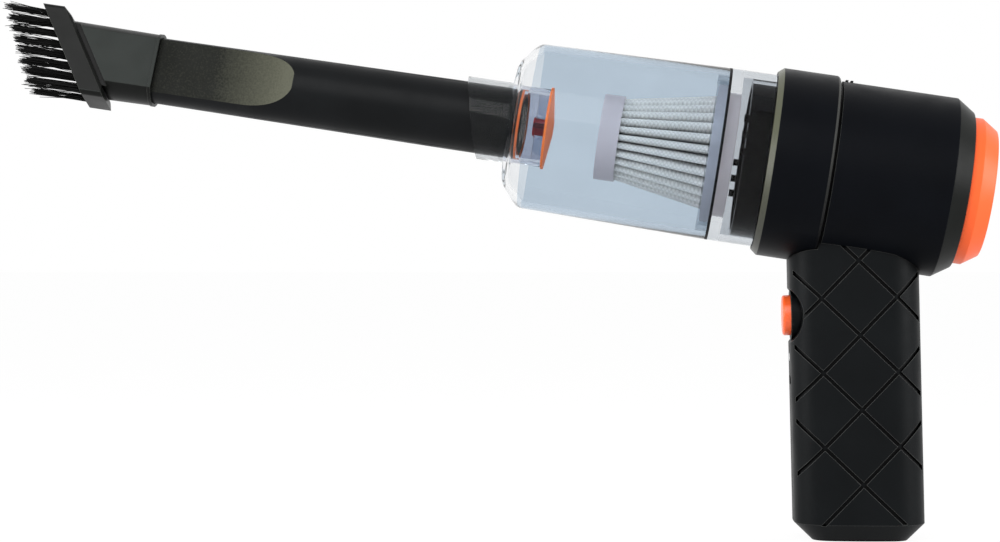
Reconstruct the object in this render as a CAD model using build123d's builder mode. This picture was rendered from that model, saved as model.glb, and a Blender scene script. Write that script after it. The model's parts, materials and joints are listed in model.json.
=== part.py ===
from build123d import *
import math
import os

# Pistol-grip hand vacuum, millimetres. The origin is the middle of the flat under the grip, +Z up, +X to the
# rear, and -Y is the left side of somebody holding it. Stations are measured along the barrel's axis, to the
# rear, from the point where that axis crosses the grip's own axis. Heights in the grip are measured from its
# base, along its lean.

# ---- Layout ----
barrel_tilt = 8.65  # degrees by which the nozzle points above level
crossing_back = -2.2  # where the barrel's axis crosses the grip's, fore and aft
crossing_height = 133.7
grip_lean = 1.3  # degrees by which the grip's foot lies back
front_roll = 14.0  # degrees by which nozzle, brush and bayonet lugs are turned towards the left side

# ---- Fits ----
run_gap = 0.1  # pieces that slide or turn on each other
seat_gap = 0.15  # pieces of one assembly that are dropped into each other
soft_gap = 0.3  # curved faces that pass each other, and soft pieces
bearing_gap = 0.03

# ---- Barrel housing and collar ----
housing_radius = 33.0
housing_wall = 2.4
housing_front = -8.7
housing_length = 48.45
rear_chamfer_length = 6.25
rear_chamfer_drop = 4.2
collar_length = 22.85
collar_gap = 1.0  # groove between collar and housing
collar_wall = 3.7
collar_chamfer_length = 2.1
collar_chamfer_drop = 1.7
collar_lip = 2.0
collar_edge = 1.4
tongue_wall = 1.8
tongue_length = 20.0
catch_places = (1.6, 3.4)  # two small ribs on top of the housing, behind its front edge
catch_wide = 5.0
catch_long = 0.9
catch_high = 0.6

# ---- Grip ----
grip_depth = 47.4  # fore and aft
grip_width = 38.0
grip_corner = 13.0
grip_side_bow = 1.6
grip_end_bow = 0.8
grip_wall = 2.4
grip_top_drop = 15.7  # top of the grip's block, under the crossing
base_chamfer = 6.3
quilt_pitch = 26.95  # height of one diamond
quilt_half_width = 13.5
quilt_back = 0.85  # middle of the diamonds behind the grip's axis
quilt_first_height = 20.95  # lowest crossing of the middle diamonds
quilt_groove = 1.3
quilt_depth = 0.8
quilt_front_margin = 1.3  # plain strip along the front
quilt_rear_margin = 1.0

# ---- Power button and its switch ----
button_height = 82.3
button_radius = 7.4
button_proud = 2.3
button_travel = 1.5
button_dome = 0.9
scoop_radius = 10.0  # half the height of the thumb scoop
scoop_depth = 4.6
scoop_wall = 1.8
boss_drop = 0.6  # face of the boss round the button, behind the grip's front
boss_radius_round_button = 9.4
button_flange = 1.0
button_flange_thick = 0.9
button_pad = 0.6
button_wall = 1.9
switch_side = 6.0
switch_thick = 3.0
switch_corner = 0.7
plunger_radius = 1.6
plunger_stand = 2.0
plunger_seat = 1.1

# ---- Electronics ----
board_set_back = 6.2  # behind the grip's front
board_thick = 1.2
board_width = 16.0
board_low = 48.0
board_above_button = 9.2
board_corner = 0.7
port_height = 58.5
port_wide = 8.94
port_tall = 3.2
port_metal = 0.3
port_recess = 0.8
port_floor = 0.8
port_tongue_wide = 6.7
port_tongue_thick = 0.7
light_height = 67.0
light_radius = 1.5
rail_low = 50.5
rail_high = 60.5
rail_wall = 1.4
rail_bite = 0.7

# ---- Battery ----
cell_length = 65.0
cell_low = 14.0
cell_edge = 0.3
cell_gap = 0.2  # between the two cells
pack_front_room = 5.3  # for the board and the socket, inside the grip's front wall
pack_rear_room = 0.3
holder_plate = 1.5
holder_post_wide = 3.0
holder_post_thick = 3.2
holder_post_out = 7.5
strip_thick = 0.3
strip_wide = 7.0
cradle_heights = (28.0, 62.0)
cradle_thick = 1.6

# ---- Screws ----
screw_radius = 1.4
screw_head_radius = 2.8
screw_head_thick = 1.8
screw_length = 20.0
screw_head_depth = 8.0  # underside of the head, from the middle plane
boss_wall = 1.9
screws_in_grip = ((0.0, 7.2), (13.5, 88.0))  # behind the grip's axis, height
screws_in_barrel = ((1.0, 25.8), (30.0, -25.3))  # station, above the barrel's axis

# ---- Neck that carries the cup ----
neck_wall = 2.0
neck_reach = 8.6  # in front of the collar
neck_flange = 1.2
neck_flange_thick = 1.4
grille_set_back = 1.6
grille_thick = 2.0
grille_bite = 1.0  # how far it runs into the neck's wall
grille_rings = (10.0, 15.0, 20.0)
grille_slot = 3.0
grille_spokes = 6
grille_spoke_angle = 12.0
lug_height = 1.5
lug_length = 2.4
lug_angle = 31.0
lug_play = 1.0  # degrees on each side
tooth_length = 1.8
tooth_wide = 2.5
tooth_thick = 1.2
tooth_angle = 12.5
tooth_count = 3
unlock_turn = 34.0

# ---- Fan and motor ----
shroud_wall = 1.7
shroud_front_thick = 1.5
shroud_inlet = 13.5
shroud_gap = 0.6
impeller_tip_gap = 1.6
impeller_height = 10.0
impeller_plate = 1.2
impeller_hub = 5.0
blade_count = 9
blade_thick = 1.1
blade_start = 8.0
blade_sweep = 42.0
blade_hollow = 0.3  # share of the sweep that the blade has turned half-way out
diffuser_gap = 0.8
diffuser_thick = 2.5
diffuser_ring = 1.3
diffuser_vane_room = 3.7
vane_count = 11
vane_thick = 1.0
vane_slant = 35.0
motor_radius = 17.9
motor_wall = 1.2
motor_length = 44.7
motor_bell = 2.5
bush_radius = 4.5
bush_length = 4.0
bush_proud = 2.0
shaft_radius = 1.5875
shaft_rear = 1.4
armature_radius = 13.0
armature_length = 28.0
armature_front_room = 6.0
armature_slots = 5
armature_slot_wide = 2.2
armature_slot_radius = 2.6
magnet_gap = 0.5
magnet_arc = 130.0
magnet_rolls = (0.0, 180.0)
commutator_radius = 4.5
commutator_length = 5.0
commutator_gap = 2.4
brush_side = 3.0
brush_count = 2
brush_angle = 90.0
terminal_wide = 4.0
terminal_thick = 0.6
terminal_long = 4.5
terminal_out = 11.0
terminal_count = 2
motor_screw_out = 8.0
motor_screw_radius = 1.2
motor_screw_head = 2.2
motor_screw_head_thick = 1.2
motor_screw_long = 4.2
motor_screw_count = 2
damper_thick = 2.2
damper_station = 9.0
damper_length = 8.0
rib_thick = 2.0
rib_rolls = (45.0, 135.0, 225.0, 315.0)

# ---- Exhaust cap ----
cap_wall = 2.0
cap_gap = 0.1
cap_rim_stand = 3.9
cap_chamfer_length = 5.4
cap_chamfer_drop = 3.65
cap_lip_step = 1.75
cap_skirt = 5.4
cap_flange = 1.15
cap_flange_thick = 1.0
vent_count = 14
vent_long = 11.0
vent_wide = 2.2
vent_middle = 14.5

# ---- Filter carrier, gasket and filter ----
cup_radius = 31.85  # at the rear
carrier_wall = 2.6
carrier_length = 16.25
carrier_plate = 4.2
carrier_bore = 23.0
spigot_wall = 2.1
spigot_length = 5.2
bayonet_wall = 1.1
gasket_thick = 1.0
filter_flange_radius = 25.5
filter_flange = 4.7
filter_plug = 4.6
filter_plug_wall = 2.2
filter_bead = 0.8
pleat_count = 28
pleat_length = 33.1  # between the base and the end cap
pleat_base_radius = 21.3
pleat_tip_radius = 14.5
pleat_depth_share = 0.27
pleat_ridge_share = 0.3  # of a pitch that a rounded ridge takes
paper_thick = 0.8
pleat_tuck = 2.0
end_cap_radius = 15.9
end_cap_length = 7.3

# ---- Dust cup and inlet valve ----
cup_wall = 2.4
cup_length = 70.4
cup_draft = 1.3  # smaller at the front, on the radius
shoulder_length = 6.7
shoulder_drop = 8.0
shoulder_round = 2.5
pipe_wall = 1.9
pipe_length = 14.15
pipe_slant = 7.3
inner_tube_length = 10.9
inner_tube_radius = 14.5
inner_lip = 0.9
valve_radius = 15.2
valve_rim = 0.8
valve_crown = 1.7
stem_radius = 3.15
stem_bead = 0.85
hub_radius = 4.9
hub_length = 4.3
spoke_count = 4
spoke_thick = 1.6
spoke_bite = 0.5  # how far a spoke runs into the hub and the tube
nozzle_seal_thick = 0.9

# ---- Crevice nozzle ----
nozzle_radius = 13.0
nozzle_tip_radius = 12.1
nozzle_wall = 1.8
nozzle_engage = 3.2  # how far it reaches past the cup's front face, into the cup
nozzle_tip_station = -280.0
tip_slant = 33.0
scarf_station = -207.0
scarf_length = 19.6
scarf_half = 7.0
scarf_half_tip = 6.3
scarf_hollow = 0.25  # share of the run-out's rise that is reached half-way along it

# ---- Brush head ----
sleeve_rear = -260.4
sleeve_wall = 0.9
sleeve_flat_wall = 2.6
sleeve_flare = 0.5  # wider at the bar, all round
sleeve_rim = 0.3
sleeve_rim_length = 1.2
bar_station = -287.4  # middle of the bar's rear face
bar_lift = 0.7  # middle of the bar above the nozzle's axis, along the slant
bar_length = 39.1
bar_wide = 8.2  # along the barrel
bar_half = 9.8
bar_corner = 2.0
bar_bevel = 1.2  # along the barrel
bar_side_bevel = 0.8
bar_end_bevel = 3.2
recess_length = 3.4  # between the bar and the flat panels
recess_depth = 1.5
mouth_long = 27.0
mouth_half = 3.2
tuft_rows = (-5.7, 5.7)  # across the bar
tuft_count = 8
tuft_radius = 1.6
tuft_tip_radius = 1.2
tuft_pitch = 4.65
tuft_length = 16.2
tuft_root = 2.5

# ---- Directions and planes ----
tilt = math.radians(barrel_tilt)
lean = math.radians(grip_lean)
to_rear = Vector(math.cos(tilt), 0, -math.sin(tilt))
barrel_up = Vector(math.sin(tilt), 0, math.cos(tilt))
to_right = Vector(0, 1, 0)
crossing = Vector(crossing_back, 0, crossing_height)
barrel_axis = Axis(crossing, to_rear)
grip_up = Vector(-math.sin(lean), 0, math.cos(lean))
left_roll = 90.0 - front_roll
right_roll = left_roll + 180.0
long_reach = 400.0  # larger than the whole object


def radial(roll):
    """Direction square to the barrel, turned by roll degrees from up towards the left side."""
    return barrel_up * math.cos(math.radians(roll)) - to_right * math.sin(math.radians(roll))


def length_plane(roll=0.0):
    """Plane through the barrel's axis: x is the station, y the distance from the axis at that roll."""
    return Plane(origin=crossing, x_dir=to_rear, z_dir=to_rear.cross(radial(roll)))


def cross_plane(station, roll=0.0):
    """Plane square to the barrel: x runs to the right side and y up, both turned by roll, z to the rear."""
    return Plane(origin=crossing + to_rear * station, x_dir=radial(roll - 90.0), z_dir=to_rear)


def level_plane(height):
    """Level plane through the grip's leaning axis."""
    return Plane(origin=(-height * math.tan(lean), 0, height), x_dir=(1, 0, 0), z_dir=(0, 0, 1))


def grip_plane(height):
    """Plane square to the grip's leaning axis: x to the rear, y to the right side."""
    return Plane(origin=grip_up * height, x_dir=(math.cos(lean), 0, math.sin(lean)), z_dir=grip_up)


def facing_front(height):
    """Plane square to the grip's fore and aft direction: x to the left side, y up, z to the front."""
    return Plane(origin=grip_up * height, x_dir=(0, -1, 0), z_dir=(-math.cos(lean), 0, -math.sin(lean)))


def turn(outline, mode=Mode.ADD, arc=360.0, roll=0.0):
    """Revolves a closed outline of (station, radius) points about the barrel's axis."""
    with BuildSketch(length_plane(roll)) as section:
        with BuildLine():
            Polyline(*outline, close=True)
        make_face()
    revolve(section.sketch, axis=barrel_axis, revolution_arc=arc, mode=mode)


def ring(front, rear, inner, outer, mode=Mode.ADD):
    """A plain tube or disc about the barrel's axis."""
    turn([(front, inner), (rear, inner), (rear, outer), (front, outer)], mode=mode)


def grip_outline(plane, inset):
    """The grip's level outline, drawn in by inset."""
    half_depth = grip_depth / 2 - inset
    half_width = grip_width / 2 - inset
    corner_x = half_depth - grip_end_bow
    corner_y = half_width - grip_side_bow
    with BuildSketch(plane) as outline:
        with BuildLine():
            ThreePointArc((-corner_x, -corner_y), (0, -half_width), (corner_x, -corner_y))
            ThreePointArc((corner_x, -corner_y), (half_depth, 0), (corner_x, corner_y))
            ThreePointArc((corner_x, corner_y), (0, half_width), (-corner_x, corner_y))
            ThreePointArc((-corner_x, corner_y), (-half_depth, 0), (-corner_x, -corner_y))
        make_face()
        fillet(outline.vertices(), radius=grip_corner - inset)
    return outline.sketch


def add_grip(inset, mode=Mode.ADD):
    """The grip's leaning block with its chamfered foot, drawn in by inset all round."""
    corner_shift = inset * (math.sqrt(2) - 1)
    chamfer_top = base_chamfer + corner_shift
    foot = grip_outline(level_plane(inset), base_chamfer + corner_shift)
    waist = grip_outline(level_plane(chamfer_top), inset)
    loft([foot, waist], ruled=True, mode=mode)
    extrude(waist, amount=(grip_top - chamfer_top) / math.cos(lean), dir=grip_up, mode=mode)


def export(part, label):
    """Labels a finished piece and writes it under that name."""
    part.label = label
    export_step(part, f"parts/{label}.step")


# ---- Sizes that follow from the ones above ----
grip_top = crossing_height - grip_top_drop
board_front = board_set_back - grip_depth / 2
board_high = button_height + board_above_button
pack_length = grip_depth - 2 * grip_wall - pack_front_room - pack_rear_room
cell_radius = (pack_length - cell_gap) / 4
cell_spacing = 2 * cell_radius + cell_gap
pack_back = (pack_front_room - pack_rear_room) / 2  # middle of the pack behind the grip's axis
carrier_inner = cup_radius - carrier_wall
neck_radius = carrier_inner - soft_gap
neck_bore = neck_radius - neck_wall
tongue_bore = neck_radius + seat_gap
tongue_radius = tongue_bore + tongue_wall
collar_bore = tongue_radius + run_gap
collar_radius = collar_bore + collar_wall
housing_rear = housing_front + housing_length
housing_bore = housing_radius - housing_wall
chamfer_start = housing_rear - rear_chamfer_length
chamfer_slope = rear_chamfer_drop / rear_chamfer_length
rim_radius = housing_radius - rear_chamfer_drop
inner_bend = chamfer_start - housing_wall * math.tan(math.atan(chamfer_slope) / 2)
inner_rear = housing_rear - housing_wall
inner_rim = housing_bore - chamfer_slope * (inner_rear - inner_bend)
cap_radius = rim_radius - cap_lip_step - cap_gap
front_wall = housing_front + housing_wall
collar_rear = housing_front - collar_gap
collar_front = collar_rear - collar_length
neck_front = collar_front - neck_reach
carrier_rear = collar_front - soft_gap
carrier_front = carrier_rear - carrier_length
cup_rear = carrier_front - gasket_thick
cup_shoulder = cup_rear - cup_length
cup_front = cup_shoulder - shoulder_length
pipe_bore = nozzle_radius + run_gap
pipe_radius = pipe_bore + pipe_wall
inner_tube_rear = cup_front + cup_wall + inner_tube_length
nozzle_rear = cup_front + nozzle_engage
cup_front_wall = cup_front + cup_wall

# ---- Shells: both halves are drawn as one body and parted in the middle plane ----
boss_radius = screw_radius + boss_wall
head_room = screw_head_radius + soft_gap
grip_screws = [grip_plane(height).from_local_coords((back, 0, 0)) for back, height in screws_in_grip]
barrel_screws = [length_plane().from_local_coords((station, up, 0)) for station, up in screws_in_barrel]
screw_points = [Vector(point.X, 0, point.Z) for point in grip_screws + barrel_screws]
middle_plane = Plane(origin=(0, 0, 0), x_dir=(1, 0, 0), z_dir=(0, 1, 0))
screw_spots = [middle_plane.to_local_coords(point) for point in screw_points]
button_face = -grip_depth / 2 - button_proud
scoop_ball = (scoop_radius**2 + scoop_depth**2) / (2 * scoop_depth)
scoop_point = facing_front(button_height).from_local_coords((0, 0, grip_depth / 2 - scoop_depth + scoop_ball))
scoop_spot = middle_plane.to_local_coords(scoop_point)
scoop_wall_start = button_radius + button_flange + run_gap
pad_inner = -grip_depth / 2 + grip_wall + button_pad
ceiling_radius = collar_radius + run_gap + grip_wall
rib_foot = front_wall + neck_flange_thick + seat_gap
damper_radius = motor_radius + damper_thick
damper_rear = damper_station + damper_length
rib_foot_radius = neck_bore + run_gap

quilt_angle = math.degrees(math.atan2(quilt_pitch / 2, quilt_half_width))
quilt_rows = math.ceil(crossing_height / quilt_pitch)

with BuildPart() as quilt_core:
    add_grip(quilt_depth)

with BuildPart() as quilt:
    # Diamond grooves: bars square to the middle plane, cut down to the skin of the grip and kept off its
    # front, its back and its foot.
    for row in range(quilt_rows):
        crossing_plane = grip_plane(quilt_first_height + row * quilt_pitch)
        crossing_point = crossing_plane.from_local_coords((quilt_back, 0, 0))
        with BuildSketch(Plane(origin=crossing_point, x_dir=grip_plane(0).x_dir, z_dir=(0, -1, 0))):
            Rectangle(long_reach, quilt_groove, rotation=quilt_angle)
            Rectangle(long_reach, quilt_groove, rotation=-quilt_angle)
        extrude(amount=grip_width, both=True)
    with BuildSketch(grip_plane(base_chamfer)):
        with Locations(((quilt_front_margin - quilt_rear_margin) / 2, 0)):
            Rectangle(grip_depth - quilt_front_margin - quilt_rear_margin, 2 * grip_width)
    extrude(amount=long_reach, mode=Mode.INTERSECT)
    add(quilt_core.part, mode=Mode.SUBTRACT)

with BuildPart() as body:
    add_grip(0)
    add(quilt.part, mode=Mode.SUBTRACT)
    turn([(housing_front, 0), (housing_front, housing_radius), (chamfer_start, housing_radius),
          (housing_rear, rim_radius), (housing_rear, 0)])
    for place in catch_places:
        with BuildSketch(length_plane()) as catch:
            with Locations((housing_front + place, housing_radius)):
                Rectangle(catch_long, 2 * catch_high)
        extrude(catch.sketch, amount=catch_wide / 2, both=True)
    # The grip stops under the collar.
    ring(-long_reach, collar_rear + run_gap, 0, collar_radius + run_gap, mode=Mode.SUBTRACT)

with BuildPart() as cavity:
    add_grip(grip_wall)
    ring(-long_reach, front_wall, 0, ceiling_radius, mode=Mode.SUBTRACT)
    turn([(front_wall, 0), (front_wall, housing_bore), (inner_bend, housing_bore),
          (inner_rear, inner_rim), (inner_rear, 0)])

with BuildPart() as fittings:
    # What stands inside the shells, before it is cut to the walls.
    with BuildSketch(middle_plane):
        with Locations(*[(spot.X, spot.Y) for spot in screw_spots]):
            Circle(boss_radius)
    extrude(amount=grip_width, both=True)
    for roll in rib_rolls:
        with BuildSketch(length_plane(roll)) as rib:
            with BuildLine():
                Polyline((rib_foot, rib_foot_radius), (damper_station - rib_thick, rib_foot_radius),
                         (damper_station, damper_radius), (damper_rear, damper_radius),
                         (damper_rear + rib_thick, housing_radius), (rib_foot, housing_radius), close=True)
            make_face()
        extrude(rib.sketch, amount=rib_thick / 2, both=True)
    for height in cradle_heights:
        extrude(grip_outline(grip_plane(height), 0), amount=cradle_thick)
        with BuildSketch(grip_plane(height)):
            with Locations((pack_back, 0)):
                SlotOverall(cell_spacing + 2 * (cell_radius + soft_gap), 2 * (cell_radius + soft_gap))
            with Locations((board_front - grip_depth / 2 + board_thick + rail_wall, 0)):
                Rectangle(grip_depth, 2 * grip_width)
        extrude(amount=cradle_thick, mode=Mode.SUBTRACT)
    with BuildSketch(grip_plane(rail_low)):
        with Locations((board_front + board_thick / 2, 0)):
            Rectangle(board_thick + 2 * rail_wall, grip_width)
            Rectangle(board_thick + 2 * rail_wall, board_width - 2 * rail_bite, mode=Mode.SUBTRACT)
            Rectangle(board_thick + 2 * seat_gap, board_width + 2 * seat_gap, mode=Mode.SUBTRACT)
    extrude(amount=rail_high - rail_low)
    # Behind the thumb scoop: the boss round the button, and a wall on each side of it.
    with BuildSketch(facing_front(button_height).offset(-pad_inner)):
        Circle(boss_radius_round_button)
    extrude(amount=grip_wall)
    with BuildSketch(facing_front(button_height).offset(-board_front + soft_gap)):
        Circle(boss_radius_round_button)
        Circle(button_radius + button_flange + run_gap, mode=Mode.SUBTRACT)
    extrude(amount=board_front - soft_gap - pad_inner)
    for side in (-1, 1):
        with BuildSketch(middle_plane.offset(side * scoop_wall_start)):
            with Locations((scoop_spot.X, scoop_spot.Y)):
                Circle(scoop_ball + scoop_wall)
        extrude(amount=side * grip_width)

with BuildPart() as scoop:
    # A round trough across the grip's front, with the button's boss left standing in it.
    with BuildSketch(middle_plane):
        with Locations((scoop_spot.X, scoop_spot.Y)):
            Circle(scoop_ball)
    extrude(amount=grip_width, both=True)
    with BuildSketch(facing_front(button_height)):
        Circle(boss_radius_round_button)
    extrude(amount=grip_depth / 2 - boss_drop, mode=Mode.SUBTRACT)

with BuildPart() as shells:
    add(body.part)
    add(cavity.part, mode=Mode.SUBTRACT)
    add(fittings.part & cavity.part)
    ring(collar_rear - tongue_length, front_wall, tongue_bore, tongue_radius)
    ring(-long_reach, front_wall, 0, tongue_bore, mode=Mode.SUBTRACT)
    ring(inner_rear, long_reach, 0, cap_radius + cap_gap, mode=Mode.SUBTRACT)
    # Thumb scoop and the button's guide hole.
    add(scoop.part, mode=Mode.SUBTRACT)
    with BuildSketch(facing_front(button_height).offset(-pad_inner - button_pad)):
        Circle(button_radius + run_gap)
    extrude(amount=grip_depth, mode=Mode.SUBTRACT)
    # Charging socket and its light.
    with BuildSketch(facing_front(port_height).offset(-board_front)):
        SlotOverall(port_wide + 2 * seat_gap, port_tall + 2 * seat_gap)
    extrude(amount=grip_depth, mode=Mode.SUBTRACT)
    with BuildSketch(facing_front(light_height).offset(-board_front)):
        Circle(light_radius + seat_gap)
    extrude(amount=grip_depth, mode=Mode.SUBTRACT)
    # Screw holes: pilot in the left half, clearance and a counterbore from the right side.
    with BuildSketch(middle_plane.offset(screw_head_depth - screw_length - soft_gap)):
        with Locations(*[(spot.X, spot.Y) for spot in screw_spots]):
            Circle(screw_radius + bearing_gap)
    extrude(amount=screw_length + soft_gap, mode=Mode.SUBTRACT)
    with BuildSketch(middle_plane.offset(screw_head_depth)):
        with Locations(*[(spot.X, spot.Y) for spot in screw_spots]):
            Circle(head_room)
    extrude(amount=housing_radius, mode=Mode.SUBTRACT)

with BuildPart() as left_shell:
    add(shells.part)
    split(bisect_by=middle_plane, keep=Keep.BOTTOM)

with BuildPart() as right_shell:
    add(shells.part)
    split(bisect_by=middle_plane, keep=Keep.TOP)

# ---- Front collar ----
with BuildPart() as front_collar:
    turn([(collar_front, neck_radius + seat_gap), (collar_front, collar_radius - collar_chamfer_drop),
          (collar_front + collar_chamfer_length, collar_radius), (collar_rear, collar_radius),
          (collar_rear, collar_bore), (collar_front + collar_lip, collar_bore),
          (collar_front + collar_lip, neck_radius + seat_gap)])
    rear_edges = front_collar.edges().filter_by(GeomType.CIRCLE).group_by(SortBy.RADIUS)[-1]
    fillet(rear_edges.sort_by(barrel_axis)[-1], radius=collar_edge)

# ---- Exhaust cap ----
cap_front = housing_rear - cap_skirt
cap_bend = housing_rear + cap_rim_stand
cap_rear = cap_bend + cap_chamfer_length
cap_face_radius = cap_radius - cap_chamfer_drop
cap_slope = math.atan2(cap_chamfer_drop, cap_chamfer_length)
cap_inner_bend = cap_bend - cap_wall * math.tan(cap_slope / 2)
cap_inner_radius = cap_face_radius - cap_wall * math.tan((math.pi / 2 - cap_slope) / 2)
with BuildPart() as exhaust_cap:
    turn([(cap_front, 0), (cap_front, cap_radius + cap_flange),
          (cap_front + cap_flange_thick, cap_radius + cap_flange), (cap_front + cap_flange_thick, cap_radius),
          (cap_bend, cap_radius), (cap_rear, cap_face_radius), (cap_rear, 0)])
    turn([(cap_front, 0), (cap_front, cap_radius - cap_wall), (cap_inner_bend, cap_radius - cap_wall),
          (cap_rear - cap_wall, cap_inner_radius), (cap_rear - cap_wall, 0)], mode=Mode.SUBTRACT)
    with BuildSketch(cross_plane(cap_rear - cap_wall)):
        with PolarLocations(vent_middle, vent_count):
            SlotOverall(vent_long, vent_wide)
    extrude(amount=cap_wall, mode=Mode.SUBTRACT)

# ---- Neck ----
grille_front = neck_front + grille_set_back
neck_rear = front_wall + seat_gap + neck_flange_thick
lug_radius = neck_radius + lug_height
grille_arc = 360 / grille_spokes - 2 * grille_spoke_angle
grille_lines = [CenterArc((0, 0), slot_radius, grille_spoke_angle, grille_arc)
                for slot_radius in grille_rings]
with BuildPart() as motor_neck:
    ring(neck_front, neck_rear, neck_bore, neck_radius)
    ring(front_wall + seat_gap, neck_rear, neck_bore, neck_radius + neck_flange)
    with BuildSketch(cross_plane(grille_front)):
        Circle(neck_bore + grille_bite)
        with PolarLocations(0, grille_spokes):
            for slot_line in grille_lines:
                SlotArc(slot_line, height=grille_slot, mode=Mode.SUBTRACT)
    extrude(amount=grille_thick)
    for lug_roll in (left_roll, right_roll):
        turn([(neck_front, neck_bore), (neck_front, lug_radius), (neck_front + lug_length, lug_radius),
              (neck_front + lug_length, neck_bore)], arc=lug_angle, roll=lug_roll - lug_angle / 2)
        with BuildSketch(cross_plane(neck_front, roll=lug_roll)):
            with PolarLocations(neck_radius - tooth_thick / 2, tooth_count, 90 - tooth_angle,
                                2 * tooth_angle, endpoint=True):
                Rectangle(tooth_thick, tooth_wide)
        extrude(amount=-tooth_length)

# ---- Fan ----
shroud_radius = neck_bore - seat_gap
shroud_bore = shroud_radius - shroud_wall
shroud_front = grille_front + grille_thick + seat_gap
impeller_radius = shroud_bore - impeller_tip_gap
impeller_front = shroud_front + shroud_front_thick + shroud_gap
impeller_rear = impeller_front + impeller_height
diffuser_front = impeller_rear + diffuser_gap
motor_front = diffuser_front + diffuser_thick
motor_rear = motor_front + motor_length
bell_rear = motor_rear + motor_bell
with BuildPart() as fan_shroud:
    ring(shroud_front, motor_front, shroud_bore, shroud_radius)
    ring(shroud_front, shroud_front + shroud_front_thick, shroud_inlet, shroud_radius)

blade_end = Vector(impeller_radius - blade_thick, 0).rotate(Axis.Z, blade_sweep)
blade_middle = Vector((blade_start + impeller_radius) / 2, 0).rotate(Axis.Z, blade_sweep * blade_hollow)
blade_line = ThreePointArc((blade_start, 0), blade_middle, blade_end)
with BuildPart() as impeller:
    ring(impeller_rear - impeller_plate, impeller_rear, 0, impeller_radius)
    ring(impeller_front, impeller_rear, 0, impeller_hub)
    with BuildSketch(cross_plane(impeller_front)):
        with PolarLocations(0, blade_count):
            SlotArc(blade_line, height=blade_thick)
    extrude(amount=impeller_height - impeller_plate)
    ring(impeller_front, impeller_rear, 0, shaft_radius, mode=Mode.SUBTRACT)

diffuser_radius = shroud_bore - run_gap
diffuser_core = diffuser_radius - diffuser_ring - diffuser_vane_room
with BuildPart() as diffuser:
    ring(diffuser_front, motor_front, diffuser_radius - diffuser_ring, diffuser_radius)
    ring(diffuser_front, motor_front, 0, diffuser_core)
    with BuildSketch(cross_plane(diffuser_front)):
        with PolarLocations((diffuser_core + diffuser_radius) / 2 - diffuser_ring / 2, vane_count):
            Rectangle(diffuser_vane_room / math.cos(math.radians(vane_slant)) + diffuser_ring, vane_thick,
                      rotation=vane_slant)
    extrude(amount=diffuser_thick)
    ring(diffuser_front, motor_front, 0, bush_radius + seat_gap, mode=Mode.SUBTRACT)
    with BuildSketch(cross_plane(diffuser_front)):
        with PolarLocations(motor_screw_out, motor_screw_count):
            Circle(motor_screw_head + seat_gap)
    extrude(amount=motor_screw_head_thick, mode=Mode.SUBTRACT)
    with BuildSketch(cross_plane(diffuser_front)):
        with PolarLocations(motor_screw_out, motor_screw_count):
            Circle(motor_screw_radius + seat_gap)
    extrude(amount=diffuser_thick, mode=Mode.SUBTRACT)

# ---- Motor ----
bush_front = motor_front - bush_proud
shaft_front = impeller_front - shroud_gap
shaft_end = bell_rear + shaft_rear
magnet_outer = motor_radius - motor_wall
armature_front = motor_front + motor_wall + armature_front_room
armature_rear = armature_front + armature_length
commutator_front = armature_rear + commutator_gap
with BuildPart() as motor_can:
    ring(motor_front, motor_rear, 0, motor_radius)
    ring(motor_front + motor_wall, motor_rear, 0, motor_radius - motor_wall, mode=Mode.SUBTRACT)
    ring(motor_front, motor_rear, 0, bush_radius, mode=Mode.SUBTRACT)
    with BuildSketch(cross_plane(motor_front)):
        with PolarLocations(motor_screw_out, motor_screw_count):
            Circle(motor_screw_radius + bearing_gap)
    extrude(amount=motor_wall, mode=Mode.SUBTRACT)

with BuildPart() as motor_bell_cap:
    ring(motor_rear, bell_rear, bush_radius, motor_radius)
    ring(motor_rear - motor_wall, motor_rear, bush_radius, motor_radius - motor_wall - seat_gap)

with BuildPart() as motor_terminals:
    with BuildSketch(cross_plane(bell_rear)):
        with PolarLocations(terminal_out, terminal_count):
            Rectangle(terminal_thick, terminal_wide)
    extrude(amount=terminal_long)

with BuildPart() as motor_bushes:
    for bush_start in (bush_front, bell_rear - bush_length):
        ring(bush_start, bush_start + bush_length, shaft_radius + bearing_gap, bush_radius)

with BuildPart() as motor_magnets:
    for magnet_roll in magnet_rolls:
        turn([(armature_front, armature_radius + magnet_gap), (armature_rear, armature_radius + magnet_gap),
              (armature_rear, magnet_outer), (armature_front, magnet_outer)], arc=magnet_arc,
             roll=magnet_roll - magnet_arc / 2)

with BuildPart() as motor_shaft:
    ring(shaft_front, shaft_end, 0, shaft_radius)

with BuildPart() as armature:
    with BuildSketch(cross_plane(armature_front)):
        Circle(armature_radius)
        with PolarLocations(armature_radius - 2 * armature_slot_radius, armature_slots):
            Circle(armature_slot_radius, mode=Mode.SUBTRACT)
        with PolarLocations(armature_radius - armature_slot_radius, armature_slots):
            Rectangle(2 * armature_slot_radius, armature_slot_wide, mode=Mode.SUBTRACT)
    extrude(amount=armature_length)
    ring(armature_front, armature_rear, 0, shaft_radius, mode=Mode.SUBTRACT)

with BuildPart() as commutator:
    ring(commutator_front, commutator_front + commutator_length, shaft_radius, commutator_radius)

with BuildPart() as carbon_brushes:
    brush_middle = commutator_front + commutator_length / 2
    with BuildSketch(cross_plane(brush_middle - brush_side / 2)):
        brush_reach = magnet_outer - seat_gap - commutator_radius - soft_gap
        with PolarLocations(commutator_radius + soft_gap + brush_reach / 2, brush_count, brush_angle):
            Rectangle(brush_reach, brush_side)
    extrude(amount=brush_side)

with BuildPart() as motor_screws:
    with BuildSketch(cross_plane(diffuser_front)):
        with PolarLocations(motor_screw_out, motor_screw_count):
            Circle(motor_screw_head)
    extrude(amount=motor_screw_head_thick)
    with BuildSketch(cross_plane(diffuser_front)):
        with PolarLocations(motor_screw_out, motor_screw_count):
            Circle(motor_screw_radius)
    extrude(amount=motor_screw_long)

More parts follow.
